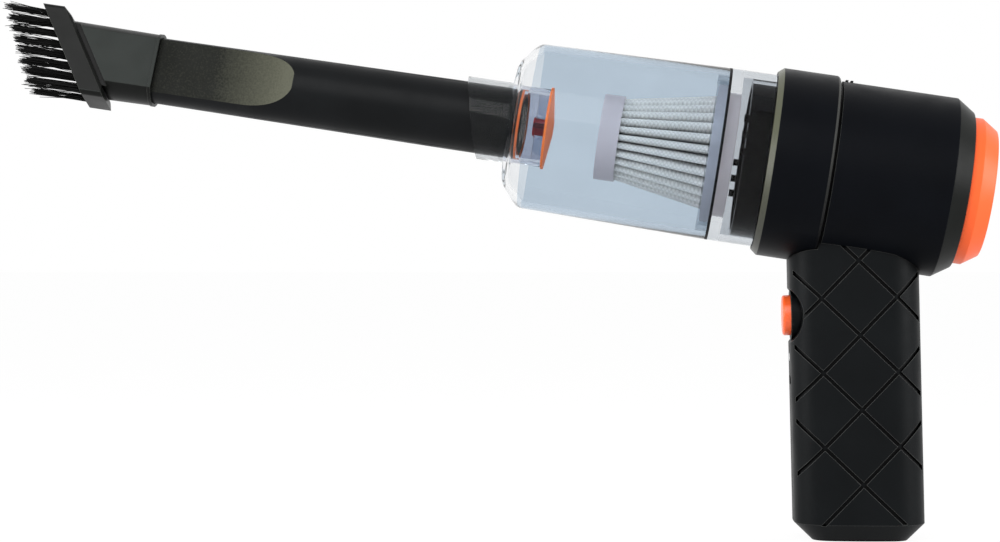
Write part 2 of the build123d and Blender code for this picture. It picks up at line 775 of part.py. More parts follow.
with BuildPart() as motor_damper:
    ring(damper_station, damper_rear, motor_radius, damper_radius)

# ---- Carrier ring, gasket and filter ----
spigot_radius = carrier_inner - run_gap
groove_radius = cup_radius - bayonet_wall
ledge_front = neck_front + lug_length + soft_gap
groove_front = neck_front - soft_gap
half_lug = lug_angle / 2 + lug_play
with BuildPart() as filter_carrier:
    turn([(carrier_rear, carrier_inner), (carrier_rear, cup_radius), (carrier_front, cup_radius),
          (carrier_front, spigot_radius), (carrier_front - spigot_length, spigot_radius),
          (carrier_front - spigot_length, spigot_radius - spigot_wall),
          (carrier_front, spigot_radius - spigot_wall), (carrier_front, carrier_bore),
          (carrier_front + carrier_plate, carrier_bore),
          (carrier_front + carrier_plate, carrier_inner)])
    for lug_roll in (left_roll, right_roll):
        # Channel that the lug turns in, and the gap it enters by.
        turn([(groove_front, neck_bore), (groove_front, groove_radius), (ledge_front, groove_radius),
              (ledge_front, neck_bore)], mode=Mode.SUBTRACT, arc=2 * half_lug + unlock_turn,
             roll=lug_roll - half_lug - unlock_turn)
        turn([(groove_front, neck_bore), (groove_front, groove_radius), (carrier_rear, groove_radius),
              (carrier_rear, neck_bore)], mode=Mode.SUBTRACT, arc=2 * half_lug,
             roll=lug_roll - half_lug - unlock_turn)

with BuildPart() as cup_gasket:
    ring(cup_rear, carrier_front, spigot_radius + run_gap, cup_radius)

filter_front = carrier_front - filter_flange
plug_radius = carrier_bore - run_gap
pleat_root = filter_front + pleat_tuck
pleat_end = filter_front - pleat_length
pleat_taper = (pleat_base_radius - pleat_tip_radius) / (pleat_length + 2 * pleat_tuck)
with BuildPart() as filter_base:
    ring(filter_front, carrier_front, plug_radius - filter_plug_wall - filter_bead, filter_flange_radius)
    ring(carrier_front, carrier_front + filter_plug, plug_radius - filter_plug_wall, plug_radius)
    ring(filter_front, pleat_root, 0, pleat_base_radius + seat_gap, mode=Mode.SUBTRACT)


def star(plane, ridge, inset):
    """One end of the folded paper: a wave with rounded ridges, drawn in by inset."""
    valley = ridge * (1 - pleat_depth_share)
    pitch = 2 * math.pi / pleat_count
    points = []
    for pleat in range(pleat_count):
        for radius, middle in ((ridge - inset, 0.0), (valley - inset, 0.5)):
            for side in (-0.5, 0.5):
                angle = (pleat + middle + side * pleat_ridge_share) * pitch
                points.append((radius * math.cos(angle), radius * math.sin(angle)))
    with BuildSketch(plane) as wave:
        with BuildLine():
            Polyline(*points, close=True)
        make_face()
    return wave.sketch


with BuildPart() as filter_pleats:
    loft([star(cross_plane(pleat_root), pleat_base_radius, 0),
          star(cross_plane(pleat_end - pleat_tuck), pleat_tip_radius, 0)], ruled=True)
    loft([star(cross_plane(pleat_root), pleat_base_radius, paper_thick),
          star(cross_plane(pleat_end - pleat_tuck), pleat_tip_radius, paper_thick)],
         ruled=True, mode=Mode.SUBTRACT)

with BuildPart() as filter_end_cap:
    ring(pleat_end - end_cap_length, pleat_end, 0, end_cap_radius)
    ring(pleat_end - pleat_tuck, pleat_end, 0, pleat_tip_radius + pleat_tuck * pleat_taper + seat_gap,
         mode=Mode.SUBTRACT)

# ---- Dust cup with its inlet ----
shoulder_radius = cup_radius - cup_draft
face_radius = shoulder_radius - shoulder_drop
cup_bore = cup_radius - cup_wall
shoulder_slope = math.atan2(shoulder_drop, shoulder_length)
inner_shoulder = cup_shoulder + cup_wall * math.tan(shoulder_slope / 2)
inner_face_radius = face_radius - cup_wall * math.tan((math.pi / 2 - shoulder_slope) / 2)
mouth_station = cup_front - pipe_length
mouth_plane = Plane(origin=crossing + to_rear * mouth_station, x_dir=to_right,
                    z_dir=to_rear * (2 * pipe_radius) + barrel_up * pipe_slant)
inner_tube_bore = pipe_bore - inner_lip
with BuildPart() as dust_cup:
    turn([(cup_rear, 0), (cup_rear, cup_radius), (cup_shoulder, shoulder_radius), (cup_front, face_radius),
          (cup_front, 0)])
    rim = dust_cup.edges().filter_by(GeomType.CIRCLE).sort_by(barrel_axis)
    fillet([rim[0], rim[1]], radius=shoulder_round)
    turn([(cup_rear, 0), (cup_rear, cup_bore), (inner_shoulder, shoulder_radius - cup_wall),
          (cup_front_wall, inner_face_radius), (cup_front_wall, 0)], mode=Mode.SUBTRACT)
    ring(mouth_station - pipe_slant, cup_front_wall, 0, pipe_radius)
    split(bisect_by=mouth_plane, keep=Keep.TOP)
    ring(cup_front_wall, inner_tube_rear, 0, inner_tube_radius)
    ring(-long_reach, nozzle_rear + nozzle_seal_thick + seat_gap, 0, pipe_bore, mode=Mode.SUBTRACT)
    ring(cup_front, inner_tube_rear, 0, inner_tube_bore, mode=Mode.SUBTRACT)
    ring(inner_tube_rear - hub_length, inner_tube_rear, 0, hub_radius)
    with BuildSketch(cross_plane(inner_tube_rear - hub_length)):
        with PolarLocations((hub_radius + inner_tube_bore) / 2, spoke_count):
            Rectangle(inner_tube_bore - hub_radius + 2 * spoke_bite, spoke_thick)
    extrude(amount=hub_length)
    ring(-long_reach, inner_tube_rear, 0, stem_radius + run_gap, mode=Mode.SUBTRACT)

stem_front = inner_tube_rear - hub_length - valve_rim
with BuildPart() as inlet_valve:
    turn([(stem_front, 0), (stem_front, stem_radius), (inner_tube_rear - hub_length, stem_radius + stem_bead),
          (inner_tube_rear - hub_length, stem_radius), (inner_tube_rear, stem_radius),
          (inner_tube_rear, valve_radius), (inner_tube_rear + valve_rim, valve_radius),
          (inner_tube_rear + valve_rim + valve_crown, stem_radius),
          (inner_tube_rear + valve_rim + valve_crown, 0)])

with BuildPart() as nozzle_seal:
    ring(nozzle_rear, nozzle_rear + nozzle_seal_thick, inner_tube_bore - run_gap, nozzle_radius)

# ---- Crevice nozzle ----
across_left = length_plane(left_roll)
across_right = length_plane(right_roll)
tip_rise = math.tan(math.radians(tip_slant))
tip_front = nozzle_tip_station - nozzle_radius


def slant_plane(station):
    """Plane across the nozzle, slanted like its tip: the upper side lies further forward."""
    up = radial(-front_roll)
    return Plane(origin=crossing + to_rear * station, x_dir=radial(-front_roll - 90.0),
                 z_dir=to_rear + up * tip_rise)


def shave(inset, mode):
    """Takes the two flat scarfs off the tube, with their hollow run-outs."""
    deepest = scarf_station - scarf_length
    flat_end = scarf_half - inset
    slope = (scarf_half_tip - scarf_half) / (nozzle_tip_station - deepest)
    far_station = nozzle_tip_station - 2 * nozzle_radius
    far_half = flat_end + slope * (far_station - deepest)
    rise = nozzle_radius - inset - flat_end
    for plane in (across_left, across_right):
        with BuildSketch(plane) as scarf:
            with BuildLine():
                Line((far_station, far_half), (deepest, flat_end))
                ThreePointArc((deepest, flat_end),
                              (deepest + scarf_length / 2, flat_end + rise * scarf_hollow),
                              (deepest + scarf_length, flat_end + rise))
                Line((deepest + scarf_length, flat_end + rise), (deepest + scarf_length, 2 * nozzle_radius))
                Line((deepest + scarf_length, 2 * nozzle_radius), (far_station, 2 * nozzle_radius))
                Line((far_station, 2 * nozzle_radius), (far_station, far_half))
            make_face()
        extrude(scarf.sketch, amount=2 * nozzle_radius, both=True, mode=mode)


engage_front = mouth_station - pipe_slant
with BuildPart() as nozzle_bore:
    turn([(nozzle_rear, 0), (nozzle_rear, nozzle_radius - nozzle_wall),
          (engage_front, nozzle_radius - nozzle_wall),
          (tip_front - nozzle_radius, nozzle_tip_radius - nozzle_wall), (tip_front - nozzle_radius, 0)])
    shave(nozzle_wall, Mode.SUBTRACT)

with BuildPart() as crevice_nozzle:
    turn([(nozzle_rear, 0), (nozzle_rear, nozzle_radius), (engage_front, nozzle_radius),
          (tip_front, nozzle_tip_radius), (tip_front, 0)])
    shave(0, Mode.SUBTRACT)
    add(nozzle_bore.part, mode=Mode.SUBTRACT)
    split(bisect_by=slant_plane(nozzle_tip_station), keep=Keep.TOP)

# ---- Brush head ----
nozzle_taper = (nozzle_radius - nozzle_tip_radius) / (engage_front - tip_front)
scarf_taper = (scarf_half - scarf_half_tip) / (scarf_station - scarf_length - nozzle_tip_station)
sleeve_inner = nozzle_tip_radius + nozzle_taper * (sleeve_rear - tip_front) + run_gap
sleeve_outer = sleeve_inner + sleeve_wall
sleeve_half_inner = scarf_half_tip + scarf_taper * (sleeve_rear - nozzle_tip_station) + run_gap
sleeve_half = sleeve_half_inner + sleeve_flat_wall
bar_front = bar_station - bar_wide
sleeve_length = sleeve_rear - bar_front
rolled = -front_roll


def flattened(plane, radius, half):
    """Round outline with two flats, like the nozzle's."""
    with BuildSketch(plane) as outline:
        Circle(radius)
        Rectangle(2 * half, 2 * radius, mode=Mode.INTERSECT)
    return outline.sketch


def bar_outline(station, side_inset=0.0, end_inset=0.0):
    """Outline of the slanted bar that holds the bristles."""
    with BuildSketch(slant_plane(station)) as outline:
        with Locations((0, bar_lift)):
            RectangleRounded(2 * (bar_half - side_inset), bar_length - 2 * end_inset, radius=bar_corner)
    return outline.sketch


def add_tufts(radius, tip_radius, root, length, mode=Mode.ADD):
    """Two rows of tufts along the bar, standing forward along the barrel's axis."""
    for row in tuft_rows:
        for tuft in range(tuft_count):
            along = (tuft - (tuft_count - 1) / 2) * tuft_pitch + bar_lift
            centre = slant_plane(bar_front).from_local_coords((row, along, 0)) + to_rear * root
            with BuildSketch(Plane(origin=centre, x_dir=to_right, z_dir=to_rear * -1)) as foot_circle:
                Circle(radius)
            with BuildSketch(Plane(origin=centre - to_rear * (root + length), x_dir=to_right,
                                   z_dir=to_rear * -1)) as tip_circle:
                Circle(tip_radius)
            loft([foot_circle.sketch, tip_circle.sketch], mode=mode)


with BuildPart() as sleeve_bore:
    # It ends at the bar, which is closed but for its mouth and the holes of the tufts.
    extrude(flattened(cross_plane(sleeve_rear, rolled), sleeve_inner, sleeve_half_inner),
            amount=-2 * sleeve_length)
    split(bisect_by=slant_plane(bar_station), keep=Keep.TOP)

with BuildPart() as brush_head:
    loft([flattened(cross_plane(sleeve_rear, rolled), sleeve_outer, sleeve_half),
          flattened(cross_plane(sleeve_rear - 2 * sleeve_length, rolled), sleeve_outer + 2 * sleeve_flare,
                    sleeve_half + 2 * sleeve_flare)], ruled=True)
    split(bisect_by=slant_plane(bar_station), keep=Keep.TOP)
    extrude(flattened(cross_plane(sleeve_rear, rolled), sleeve_outer + sleeve_rim, sleeve_half + sleeve_rim),
            amount=-sleeve_rim_length)
    # The recess between the bar and the flat panels.
    with BuildSketch(slant_plane(bar_station)) as recess:
        Rectangle(4 * bar_half, bar_length)
        Rectangle(2 * (sleeve_half - recess_depth), bar_length, mode=Mode.SUBTRACT)
    extrude(recess.sketch, amount=recess_length, dir=to_rear, mode=Mode.SUBTRACT)
    loft([bar_outline(bar_station), bar_outline(bar_station + bar_bevel, bar_side_bevel, bar_end_bevel)],
         ruled=True)
    extrude(bar_outline(bar_station), amount=bar_wide, dir=to_rear * -1)
    add(sleeve_bore.part, mode=Mode.SUBTRACT)
    with BuildSketch(slant_plane(bar_station)) as mouth:
        with Locations((0, bar_lift)):
            SlotOverall(mouth_long, 2 * mouth_half, rotation=90)
    extrude(mouth.sketch, amount=bar_wide, dir=to_rear * -1, mode=Mode.SUBTRACT)
    add_tufts(tuft_radius + run_gap, tuft_radius + run_gap, tuft_root, tuft_length, mode=Mode.SUBTRACT)

with BuildPart() as brush_bristles:
    add_tufts(tuft_radius, tuft_tip_radius, tuft_root - run_gap, tuft_length)

# ---- Power button, switch, board, socket and light ----
plunger_front = board_front - switch_thick - plunger_stand
plunger_rear = board_front - switch_thick + plunger_seat
flange_front = pad_inner + run_gap
button_pocket = button_radius - button_wall
with BuildPart() as power_button:
    with BuildSketch(facing_front(button_height).offset(-plunger_front)):
        Circle(button_radius)
    extrude(amount=plunger_front - button_face)
    front_edge = power_button.edges().filter_by(GeomType.CIRCLE).sort_by(Axis.X)[0]
    fillet(front_edge, radius=button_dome)
    with BuildSketch(facing_front(button_height).offset(-flange_front - button_flange_thick)):
        Circle(button_radius + button_flange)
        Circle(button_pocket, mode=Mode.SUBTRACT)
    extrude(amount=button_flange_thick)
    with BuildSketch(facing_front(button_height).offset(-flange_front - button_flange_thick)):
        Circle(button_radius)
        Circle(button_pocket, mode=Mode.SUBTRACT)
    extrude(amount=flange_front + button_flange_thick - plunger_front)

with BuildPart() as switch_plunger:
    with BuildSketch(facing_front(button_height).offset(-plunger_rear)):
        Circle(plunger_radius)
    extrude(amount=plunger_rear - plunger_front)

with BuildPart() as push_switch:
    with BuildSketch(facing_front(button_height).offset(-board_front)):
        RectangleRounded(switch_side, switch_side, radius=switch_corner)
    extrude(amount=switch_thick)
    with BuildSketch(facing_front(button_height).offset(-plunger_rear - button_travel - run_gap)):
        Circle(plunger_radius + run_gap)
    extrude(amount=switch_thick, mode=Mode.SUBTRACT)

with BuildPart() as control_board:
    with BuildSketch(facing_front(0).offset(-board_front - board_thick)):
        with Locations((0, (board_low + board_high) / 2)):
            RectangleRounded(board_width, board_high - board_low, radius=board_corner)
    extrude(amount=board_thick)

port_front = -grip_depth / 2 + port_recess
with BuildPart() as charge_port:
    with BuildSketch(facing_front(port_height).offset(-board_front)):
        SlotOverall(port_wide, port_tall)
    extrude(amount=board_front - port_front)
    with BuildSketch(facing_front(port_height).offset(-board_front + port_floor)):
        SlotOverall(port_wide - 2 * port_metal, port_tall - 2 * port_metal)
        Rectangle(port_tongue_wide, port_tongue_thick, mode=Mode.SUBTRACT)
    extrude(amount=board_front - port_front, mode=Mode.SUBTRACT)

with BuildPart() as charge_light:
    with BuildSketch(facing_front(light_height).offset(-board_front)):
        Circle(light_radius)
    extrude(amount=grip_depth / 2 + board_front)

# ---- Battery ----
cell_backs = (pack_back - cell_spacing / 2, pack_back + cell_spacing / 2)
cell_high = cell_low + cell_length


def cell(back):
    """One cell with its raised positive button, upwards."""
    with BuildPart() as can:
        with BuildSketch(grip_plane(cell_low)):
            with Locations((back, 0)):
                Circle(cell_radius)
        extrude(amount=cell_length)
        fillet(can.edges().filter_by(GeomType.CIRCLE), radius=cell_edge)
    return can.part


with BuildPart() as battery_holder:
    for plate_low in (cell_low - strip_thick - holder_plate, cell_high + strip_thick):
        with BuildSketch(grip_plane(plate_low)):
            with Locations((pack_back, 0)):
                SlotOverall(cell_spacing + 2 * cell_radius, 2 * cell_radius)
        extrude(amount=holder_plate)
    with BuildSketch(grip_plane(cell_low - strip_thick)):
        with Locations((pack_back, holder_post_out), (pack_back, -holder_post_out)):
            Rectangle(holder_post_thick, holder_post_wide)
    extrude(amount=cell_length + 2 * strip_thick)

with BuildPart() as cell_strips:
    with BuildSketch(grip_plane(cell_low - strip_thick)):
        with Locations((pack_back, 0)):
            Rectangle(cell_spacing + strip_wide, strip_wide)
    extrude(amount=strip_thick)
    with BuildSketch(grip_plane(cell_high)):
        with Locations(*[(back, 0) for back in cell_backs]):
            Rectangle(strip_wide, strip_wide)
    extrude(amount=strip_thick)

# ---- Housing screws ----
with BuildPart() as housing_screws:
    with BuildSketch(middle_plane.offset(screw_head_depth)):
        with Locations(*[(spot.X, spot.Y) for spot in screw_spots]):
            Circle(screw_head_radius)
    extrude(amount=screw_head_thick)
    with BuildSketch(middle_plane.offset(screw_head_depth)):
        with Locations(*[(spot.X, spot.Y) for spot in screw_spots]):
            Circle(screw_radius)
    extrude(amount=-screw_length)

os.makedirs("parts", exist_ok=True)
export(left_shell.part, "left_shell")
export(right_shell.part, "right_shell")
export(front_collar.part, "front_collar")
export(exhaust_cap.part, "exhaust_cap")
export(motor_neck.part, "motor_neck")
export(fan_shroud.part, "fan_shroud")
export(impeller.part, "impeller")
export(diffuser.part, "diffuser")
export(motor_can.part, "motor_can")
export(motor_bell_cap.part, "motor_end_bell")
export(motor_terminals.part, "motor_terminals")
export(motor_bushes.part, "motor_bushes")
export(motor_magnets.part, "motor_magnets")
export(motor_shaft.part, "motor_shaft")
export(armature.part, "armature")
export(commutator.part, "commutator")
export(carbon_brushes.part, "carbon_brushes")
export(motor_screws.part, "motor_screws")
export(motor_damper.part, "motor_damper")
export(filter_carrier.part, "filter_carrier")
export(cup_gasket.part, "cup_gasket")
export(filter_base.part, "filter_base")
export(filter_pleats.part, "filter_pleats")
export(filter_end_cap.part, "filter_end_cap")
export(dust_cup.part, "dust_cup")
export(inlet_valve.part, "inlet_valve")
export(nozzle_seal.part, "nozzle_seal")
export(crevice_nozzle.part, "crevice_nozzle")
export(brush_head.part, "brush_head")
export(brush_bristles.part, "brush_bristles")
export(power_button.part, "power_button")
export(switch_plunger.part, "switch_plunger")
export(push_switch.part, "push_switch")
export(control_board.part, "control_board")
export(charge_port.part, "charge_port")
export(charge_light.part, "charge_light")
export(cell(cell_backs[0]), "front_cell")
export(cell(cell_backs[1]), "rear_cell")
export(battery_holder.part, "battery_holder")
export(cell_strips.part, "cell_strips")
export(housing_screws.part, "housing_screws")
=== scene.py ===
"""Pistol-grip hand vacuum: the looks, built over its solids. Metres, +Z up, +X towards the exhaust cap."""
import json
import math
import random

import bpy
from mathutils import Matrix, Vector


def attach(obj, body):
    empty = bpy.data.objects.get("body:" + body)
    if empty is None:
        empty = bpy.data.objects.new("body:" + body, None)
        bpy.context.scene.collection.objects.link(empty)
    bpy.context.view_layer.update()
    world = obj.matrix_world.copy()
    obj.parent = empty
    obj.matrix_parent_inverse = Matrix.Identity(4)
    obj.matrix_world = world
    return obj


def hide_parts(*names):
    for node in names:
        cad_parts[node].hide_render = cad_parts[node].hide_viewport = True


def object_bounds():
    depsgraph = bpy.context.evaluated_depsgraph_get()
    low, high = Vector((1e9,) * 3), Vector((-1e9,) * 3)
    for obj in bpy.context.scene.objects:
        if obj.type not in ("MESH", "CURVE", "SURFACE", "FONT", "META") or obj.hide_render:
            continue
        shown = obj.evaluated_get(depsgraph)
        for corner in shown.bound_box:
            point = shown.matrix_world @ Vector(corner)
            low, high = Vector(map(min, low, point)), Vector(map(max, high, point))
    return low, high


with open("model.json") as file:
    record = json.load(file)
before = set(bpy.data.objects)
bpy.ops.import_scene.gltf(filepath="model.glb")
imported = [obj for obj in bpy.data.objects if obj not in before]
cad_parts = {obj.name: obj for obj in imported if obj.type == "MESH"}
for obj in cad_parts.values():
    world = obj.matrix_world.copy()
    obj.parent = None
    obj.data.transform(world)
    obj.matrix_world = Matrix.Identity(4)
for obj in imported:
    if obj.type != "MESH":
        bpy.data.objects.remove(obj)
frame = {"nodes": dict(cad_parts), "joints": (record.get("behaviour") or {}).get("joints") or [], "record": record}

bl_info = {
    "name": "Hand vacuum looks",
    "version": (1, 0, 0),
    "blender": (4, 5, 0),
    "location": "View3D > Sidebar > Hand vacuum",
    "description": "Dresses the hand vacuum's solids: clear cup, filter folds, bristles, finishes, studio",
    "category": "Object",
}

MM = 0.001

# ---- Read from the frame ----
ROTOR = next(joint for joint in frame["joints"] if joint["name"] == "rotor_spin")
REAR = Vector(ROTOR["axis"]).normalized()
CROSSING = Vector(ROTOR["pos_m"])
SIDE = Vector((0.0, 1.0, 0.0))
RISE = REAR.cross(SIDE).normalized() * (1 if REAR.cross(SIDE).z > 0 else -1)
SLOT_OF = {entry["node"]: entry["material_slot"] for entry in frame["record"]["subparts"]}
BODY_OF = {node: body for body, nodes in frame["record"]["behaviour"]["bodies"].items() for node in nodes}
FRAME_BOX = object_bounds()

# ---- Sizes that aren't settings ----
RUN_GAP = 0.05 * MM  # between the cup and what sits in it
EDGE = 0.25 * MM  # rounding of small edges
SAME_POINT = 1e-6  # points this close are one
SEAM = 2e-6  # the same, where a spin closes
FLAT_ANGLE = math.radians(1.0)  # faces that turn less than this become one
SHARP_ANGLE = math.radians(40)  # edges of the cup that turn more than this are rounded
CORNER_PARTS = 5  # pieces of a rounded corner
STEPS_PER_FOLD = 10
FOLD_SHARPNESS = 4  # power of the wave: higher gives broader ridges and sharper valleys
PLEAT_ROWS = 12
HAIR_SEED = 7
HAIR_SIDES = 4
HAIR_REACH = (0.84, 1.04)  # shortest and longest hair, as shares of the tuft
TIP_SHARE = 0.7  # how much of a tuft's width is left at its tip
STRAY_SHARE = 0.12  # how many hairs stray
STRAY_SPREAD = 3.0  # how much wider they do
LOW_TUFTS = 0.24  # how much longer the lowest tufts are
TUFT_END = 1e-4  # points this close to a tuft's end belong to it
SENSOR_WIDTH = 36.0  # of the camera, in millimetres
FLOOR_SIZE = 400.0  # so wide that its edge is never seen
# place and size of each lamp
LAMPS = {"key_light": ((-0.35, -0.95, 0.75), 0.8), "left_light": ((-1.15, -0.25, 0.3), 0.6),
         "right_light": ((0.95, -0.35, 0.35), 0.6)}


def barrel_point(station, radius=0.0, roll=0.0):
    """Point at a station along the barrel, at a radius; roll 0 is up and 90 degrees towards the left side."""
    return CROSSING + REAR * station + (RISE * math.cos(roll) - SIDE * math.sin(roll)) * radius


def station_of(point):
    """How far along the barrel a point lies."""
    return (Vector(point) - CROSSING).dot(REAR)


def span_of(node):
    """First and last station of a solid, and its largest radius about the barrel."""
    stations, radii = [], []
    for vertex in frame["nodes"][node].data.vertices:
        station = station_of(vertex.co)
        stations.append(station)
        radii.append((vertex.co - CROSSING - REAR * station).length)
    return min(stations), max(stations), max(radii)


# ---- Which solids are dressed, and where their finishes meet ----
SKINNED = ("left_shell", "right_shell", "front_collar", "exhaust_cap", "crevice_nozzle", "brush_head",
           "power_button", "motor_neck", "filter_carrier", "filter_base", "filter_end_cap", "inlet_valve",
           "nozzle_seal", "cup_gasket")
FINISH_OF = {"motor_neck": "neck_black", "brush_head": "brush_black", "filter_base": "base_plastic_painted_light"}
RIM_RADIUS = 27.0 * MM  # the casing's rear edge lies outside this radius
RIM_BEFORE = 12.0 * MM  # and at most this far in front of the cap
RIM_BAND = 3.0 * MM  # depth of the collar's own edges
GRIP_BELOW = 20.0 * MM  # the grip starts this far under the barrel's middle line
SLANTING = (0.3, 0.95)  # least and most share of the barrel's direction in a slanting face's normal
CONE_SHARE = 0.95  # how much of a normal lies in the plane of the barrel, on a cone round it
ROUND_SHARE = 0.9  # how much of a normal points straight out, on the barrel
STEM_RADIUS = 4.2 * MM  # the valve's stem lies inside this radius
DISC_DEPTH = 3.0 * MM  # depth of the valve's disc
SCARF_STATION = -203.0 * MM  # the nozzle's scarfs lie in front of it
SCARF_SHARE = 0.4  # least share of the flat's direction in a scarf's normal
SCARF_DEPTH = 0.9 * MM  # how far a scarf lies under the tube's surface
SCARF_FADE = (-36.0 * MM, -8.0 * MM)  # where its painted highlight fades in, lighter towards the rear
PANEL_STATION = -284.0 * MM  # the brush head's flat panels lie behind it
PANEL_SHARE = 0.97  # least share of the flat's direction in a panel's normal
COLLAR_SPAN = span_of("front_collar")
CAP_SPAN = span_of("exhaust_cap")
CUP_SPAN = span_of("dust_cup")
NOZZLE_SPAN = span_of("crevice_nozzle")
SEAL_SPAN = span_of("nozzle_seal")
PLEAT_SPAN = span_of("filter_pleats")


# ---- Settings that a user would change ----
def length(name, description, default):
    """A size in metres."""
    return bpy.props.FloatProperty(name=name, description=description, default=default, unit="LENGTH")


def share(name, description, default):
    """A plain factor."""
    return bpy.props.FloatProperty(name=name, description=description, default=default, subtype="FACTOR")


def tint(name, description, default):
    """A colour."""
    return bpy.props.FloatVectorProperty(name=name, description=description, default=default, subtype="COLOR",
                                         min=0.0, max=1.0)


class CupSettings(bpy.types.PropertyGroup):
    """Sizes of the clear dust cup."""
    steps: bpy.props.IntProperty(name="Steps", description="Facets round the cup", default=128, min=32)
    wall: length("Wall", "Thickness of the cup's wall", 0.0024)
    barrel: length("Barrel", "From the rear edge to the shoulder", 0.0704)
    draft: length("Draft", "How much smaller the radius is at the shoulder", 0.0013)
    shoulder: length("Shoulder", "Length of the shoulder", 0.0067)
    drop: length("Shoulder drop", "How far the shoulder comes in", 0.0080)
    bend: length("Bend", "Rounding of the shoulder's two edges", 0.0022)
    pipe_wall: length("Pipe wall", "Thickness of the inlet pipe", 0.0019)
    pipe: length("Pipe", "Length of the inlet pipe", 0.01415)
    mouth_slant: length("Mouth slant", "How far the top of the inlet's mouth leads", 0.0073)
    tube: length("Inner tube", "Length of the tube inside the cup", 0.0109)
    tube_radius: length("Tube radius", "Outer radius of the inner tube", 0.0145)
    tube_wall: length("Tube wall", "Thickness of the inner tube", 0.0023)
    hub: length("Hub", "Outer radius of the valve's hub", 0.0049)
    hub_bore: length("Hub bore", "Inner radius of the valve's hub", 0.0032)
    hub_length: length("Hub length", "Length of the hub and its spokes", 0.0043)
    spoke: length("Spoke", "Thickness of a spoke", 0.0016)
    spokes: bpy.props.IntProperty(name="Spokes", description="Number of spokes", default=4, min=2)


class PleatSettings(bpy.types.PropertyGroup):
    """Sizes of the folded filter paper."""
    folds: bpy.props.IntProperty(name="Folds", description="Number of folds", default=28, min=6)
    wide: length("Wide end", "Radius over the ridges at the base", 0.0213)
    narrow: length("Narrow end", "Radius over the ridges at the end cap", 0.0145)
    depth: share("Fold depth", "Valley depth as a share of the radius", 0.25)
    paper: length("Paper", "Thickness of the paper", 0.0004)


class BristleSettings(bpy.types.PropertyGroup):
    """Sizes of the bristle tufts."""
    hairs: bpy.props.IntProperty(name="Hairs", description="Hairs in one tuft", default=52, min=3)
    thickness: length("Hair", "Diameter of one hair", 0.00026)
    tuft: length("Tuft", "Radius of a tuft at its foot", 0.00145)
    clump: length("Clump", "How far a tuft's tip leans aside", 0.0005)
    fray: length("Fray", "Sideways spread of the hairs at the tips", 0.00055)


class FinishSettings(bpy.types.PropertyGroup):
    """Colours of the main finishes."""
    casing: tint("Casing", "Black of the casing", (0.0018, 0.0023, 0.0036))
    orange: tint("Orange", "Orange of the cap and the button", (0.98, 0.125, 0.024))
    smoke: tint("Smoke", "Tint of the clear cup", (0.70, 0.765, 0.825))
    carrier: tint("Carrier", "Tint of the clear filter carrier", (0.66, 0.69, 0.72))
    nozzle: tint("Nozzle", "Black of the nozzle", (0.0050, 0.0056, 0.0062))
    brush: tint("Brush", "Black of the brush head", (0.0055, 0.0060, 0.0055))
    paper: tint("Paper", "White of the filter paper", (0.86, 0.82, 0.77))


class StageSettings(bpy.types.PropertyGroup):
    """Camera and light."""
    azimuth: bpy.props.FloatProperty(name="Azimuth", description="Turn of the camera to the rear",
                                     default=math.radians(3.5), subtype="ANGLE")
    distance: length("Distance", "Camera to the aimed point", 0.89)
    lens: bpy.props.FloatProperty(name="Lens", description="Focal length in millimetres", default=86.4)
    aim: bpy.props.FloatVectorProperty(name="Aim", description="Point in the middle of the picture",
                                       default=(-0.1319, 0.0, 0.0980), subtype="TRANSLATION")
    sky: share("Sky", "Strength of the white surroundings as light", 0.55)
    key: bpy.props.FloatProperty(name="Key", description="Power of the main lamp, in watts", default=7.0)
    sides: bpy.props.FloatProperty(name="Sides", description="Power of each side lamp, in watts", default=7.5)


# ---- Modelling helpers ----
def deselect():
    """Leaves edit mode and selects nothing."""
    if bpy.context.object and bpy.context.object.mode != "OBJECT":
        bpy.ops.object.mode_set(mode="OBJECT")
    bpy.ops.object.select_all(action="DESELECT")


def select_only(piece):
    """Selects one piece and makes it the active one."""
    deselect()
    piece.select_set(True)
    bpy.context.view_layer.objects.active = piece


def join(pieces):
    """Joins pieces into the first of them."""
    select_only(pieces[0])
    for piece in pieces:
        piece.select_set(True)
    bpy.ops.object.join()
    return bpy.context.object


def apply_transforms(piece):
    """Puts a piece's place into its mesh."""
    select_only(piece)
    bpy.ops.object.transform_apply(location=True, rotation=True, scale=True)


def finish_piece(piece, name, node, finish, angle=30.0, replaces=()):
    """Names a finished piece, smooths it and hands it to its body."""
    apply_transforms(piece)
    bpy.ops.object.shade_smooth_by_angle(angle=math.radians(angle))
    piece.name = name
    piece.data.name = name
    piece.data.materials.clear()
    piece.data.materials.append(material_of(finish))
    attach(piece, BODY_OF[node])
    if replaces:
        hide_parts(*replaces)
    deselect()
    return piece


def apply_modifier(piece, kind, **settings):
    """Adds one modifier with its settings and applies it."""
    select_only(piece)
    modifier = piece.modifiers.new(kind.title(), kind)
    for key, value in settings.items():
        setattr(modifier, key, value)
    bpy.ops.object.modifier_apply(modifier=modifier.name)


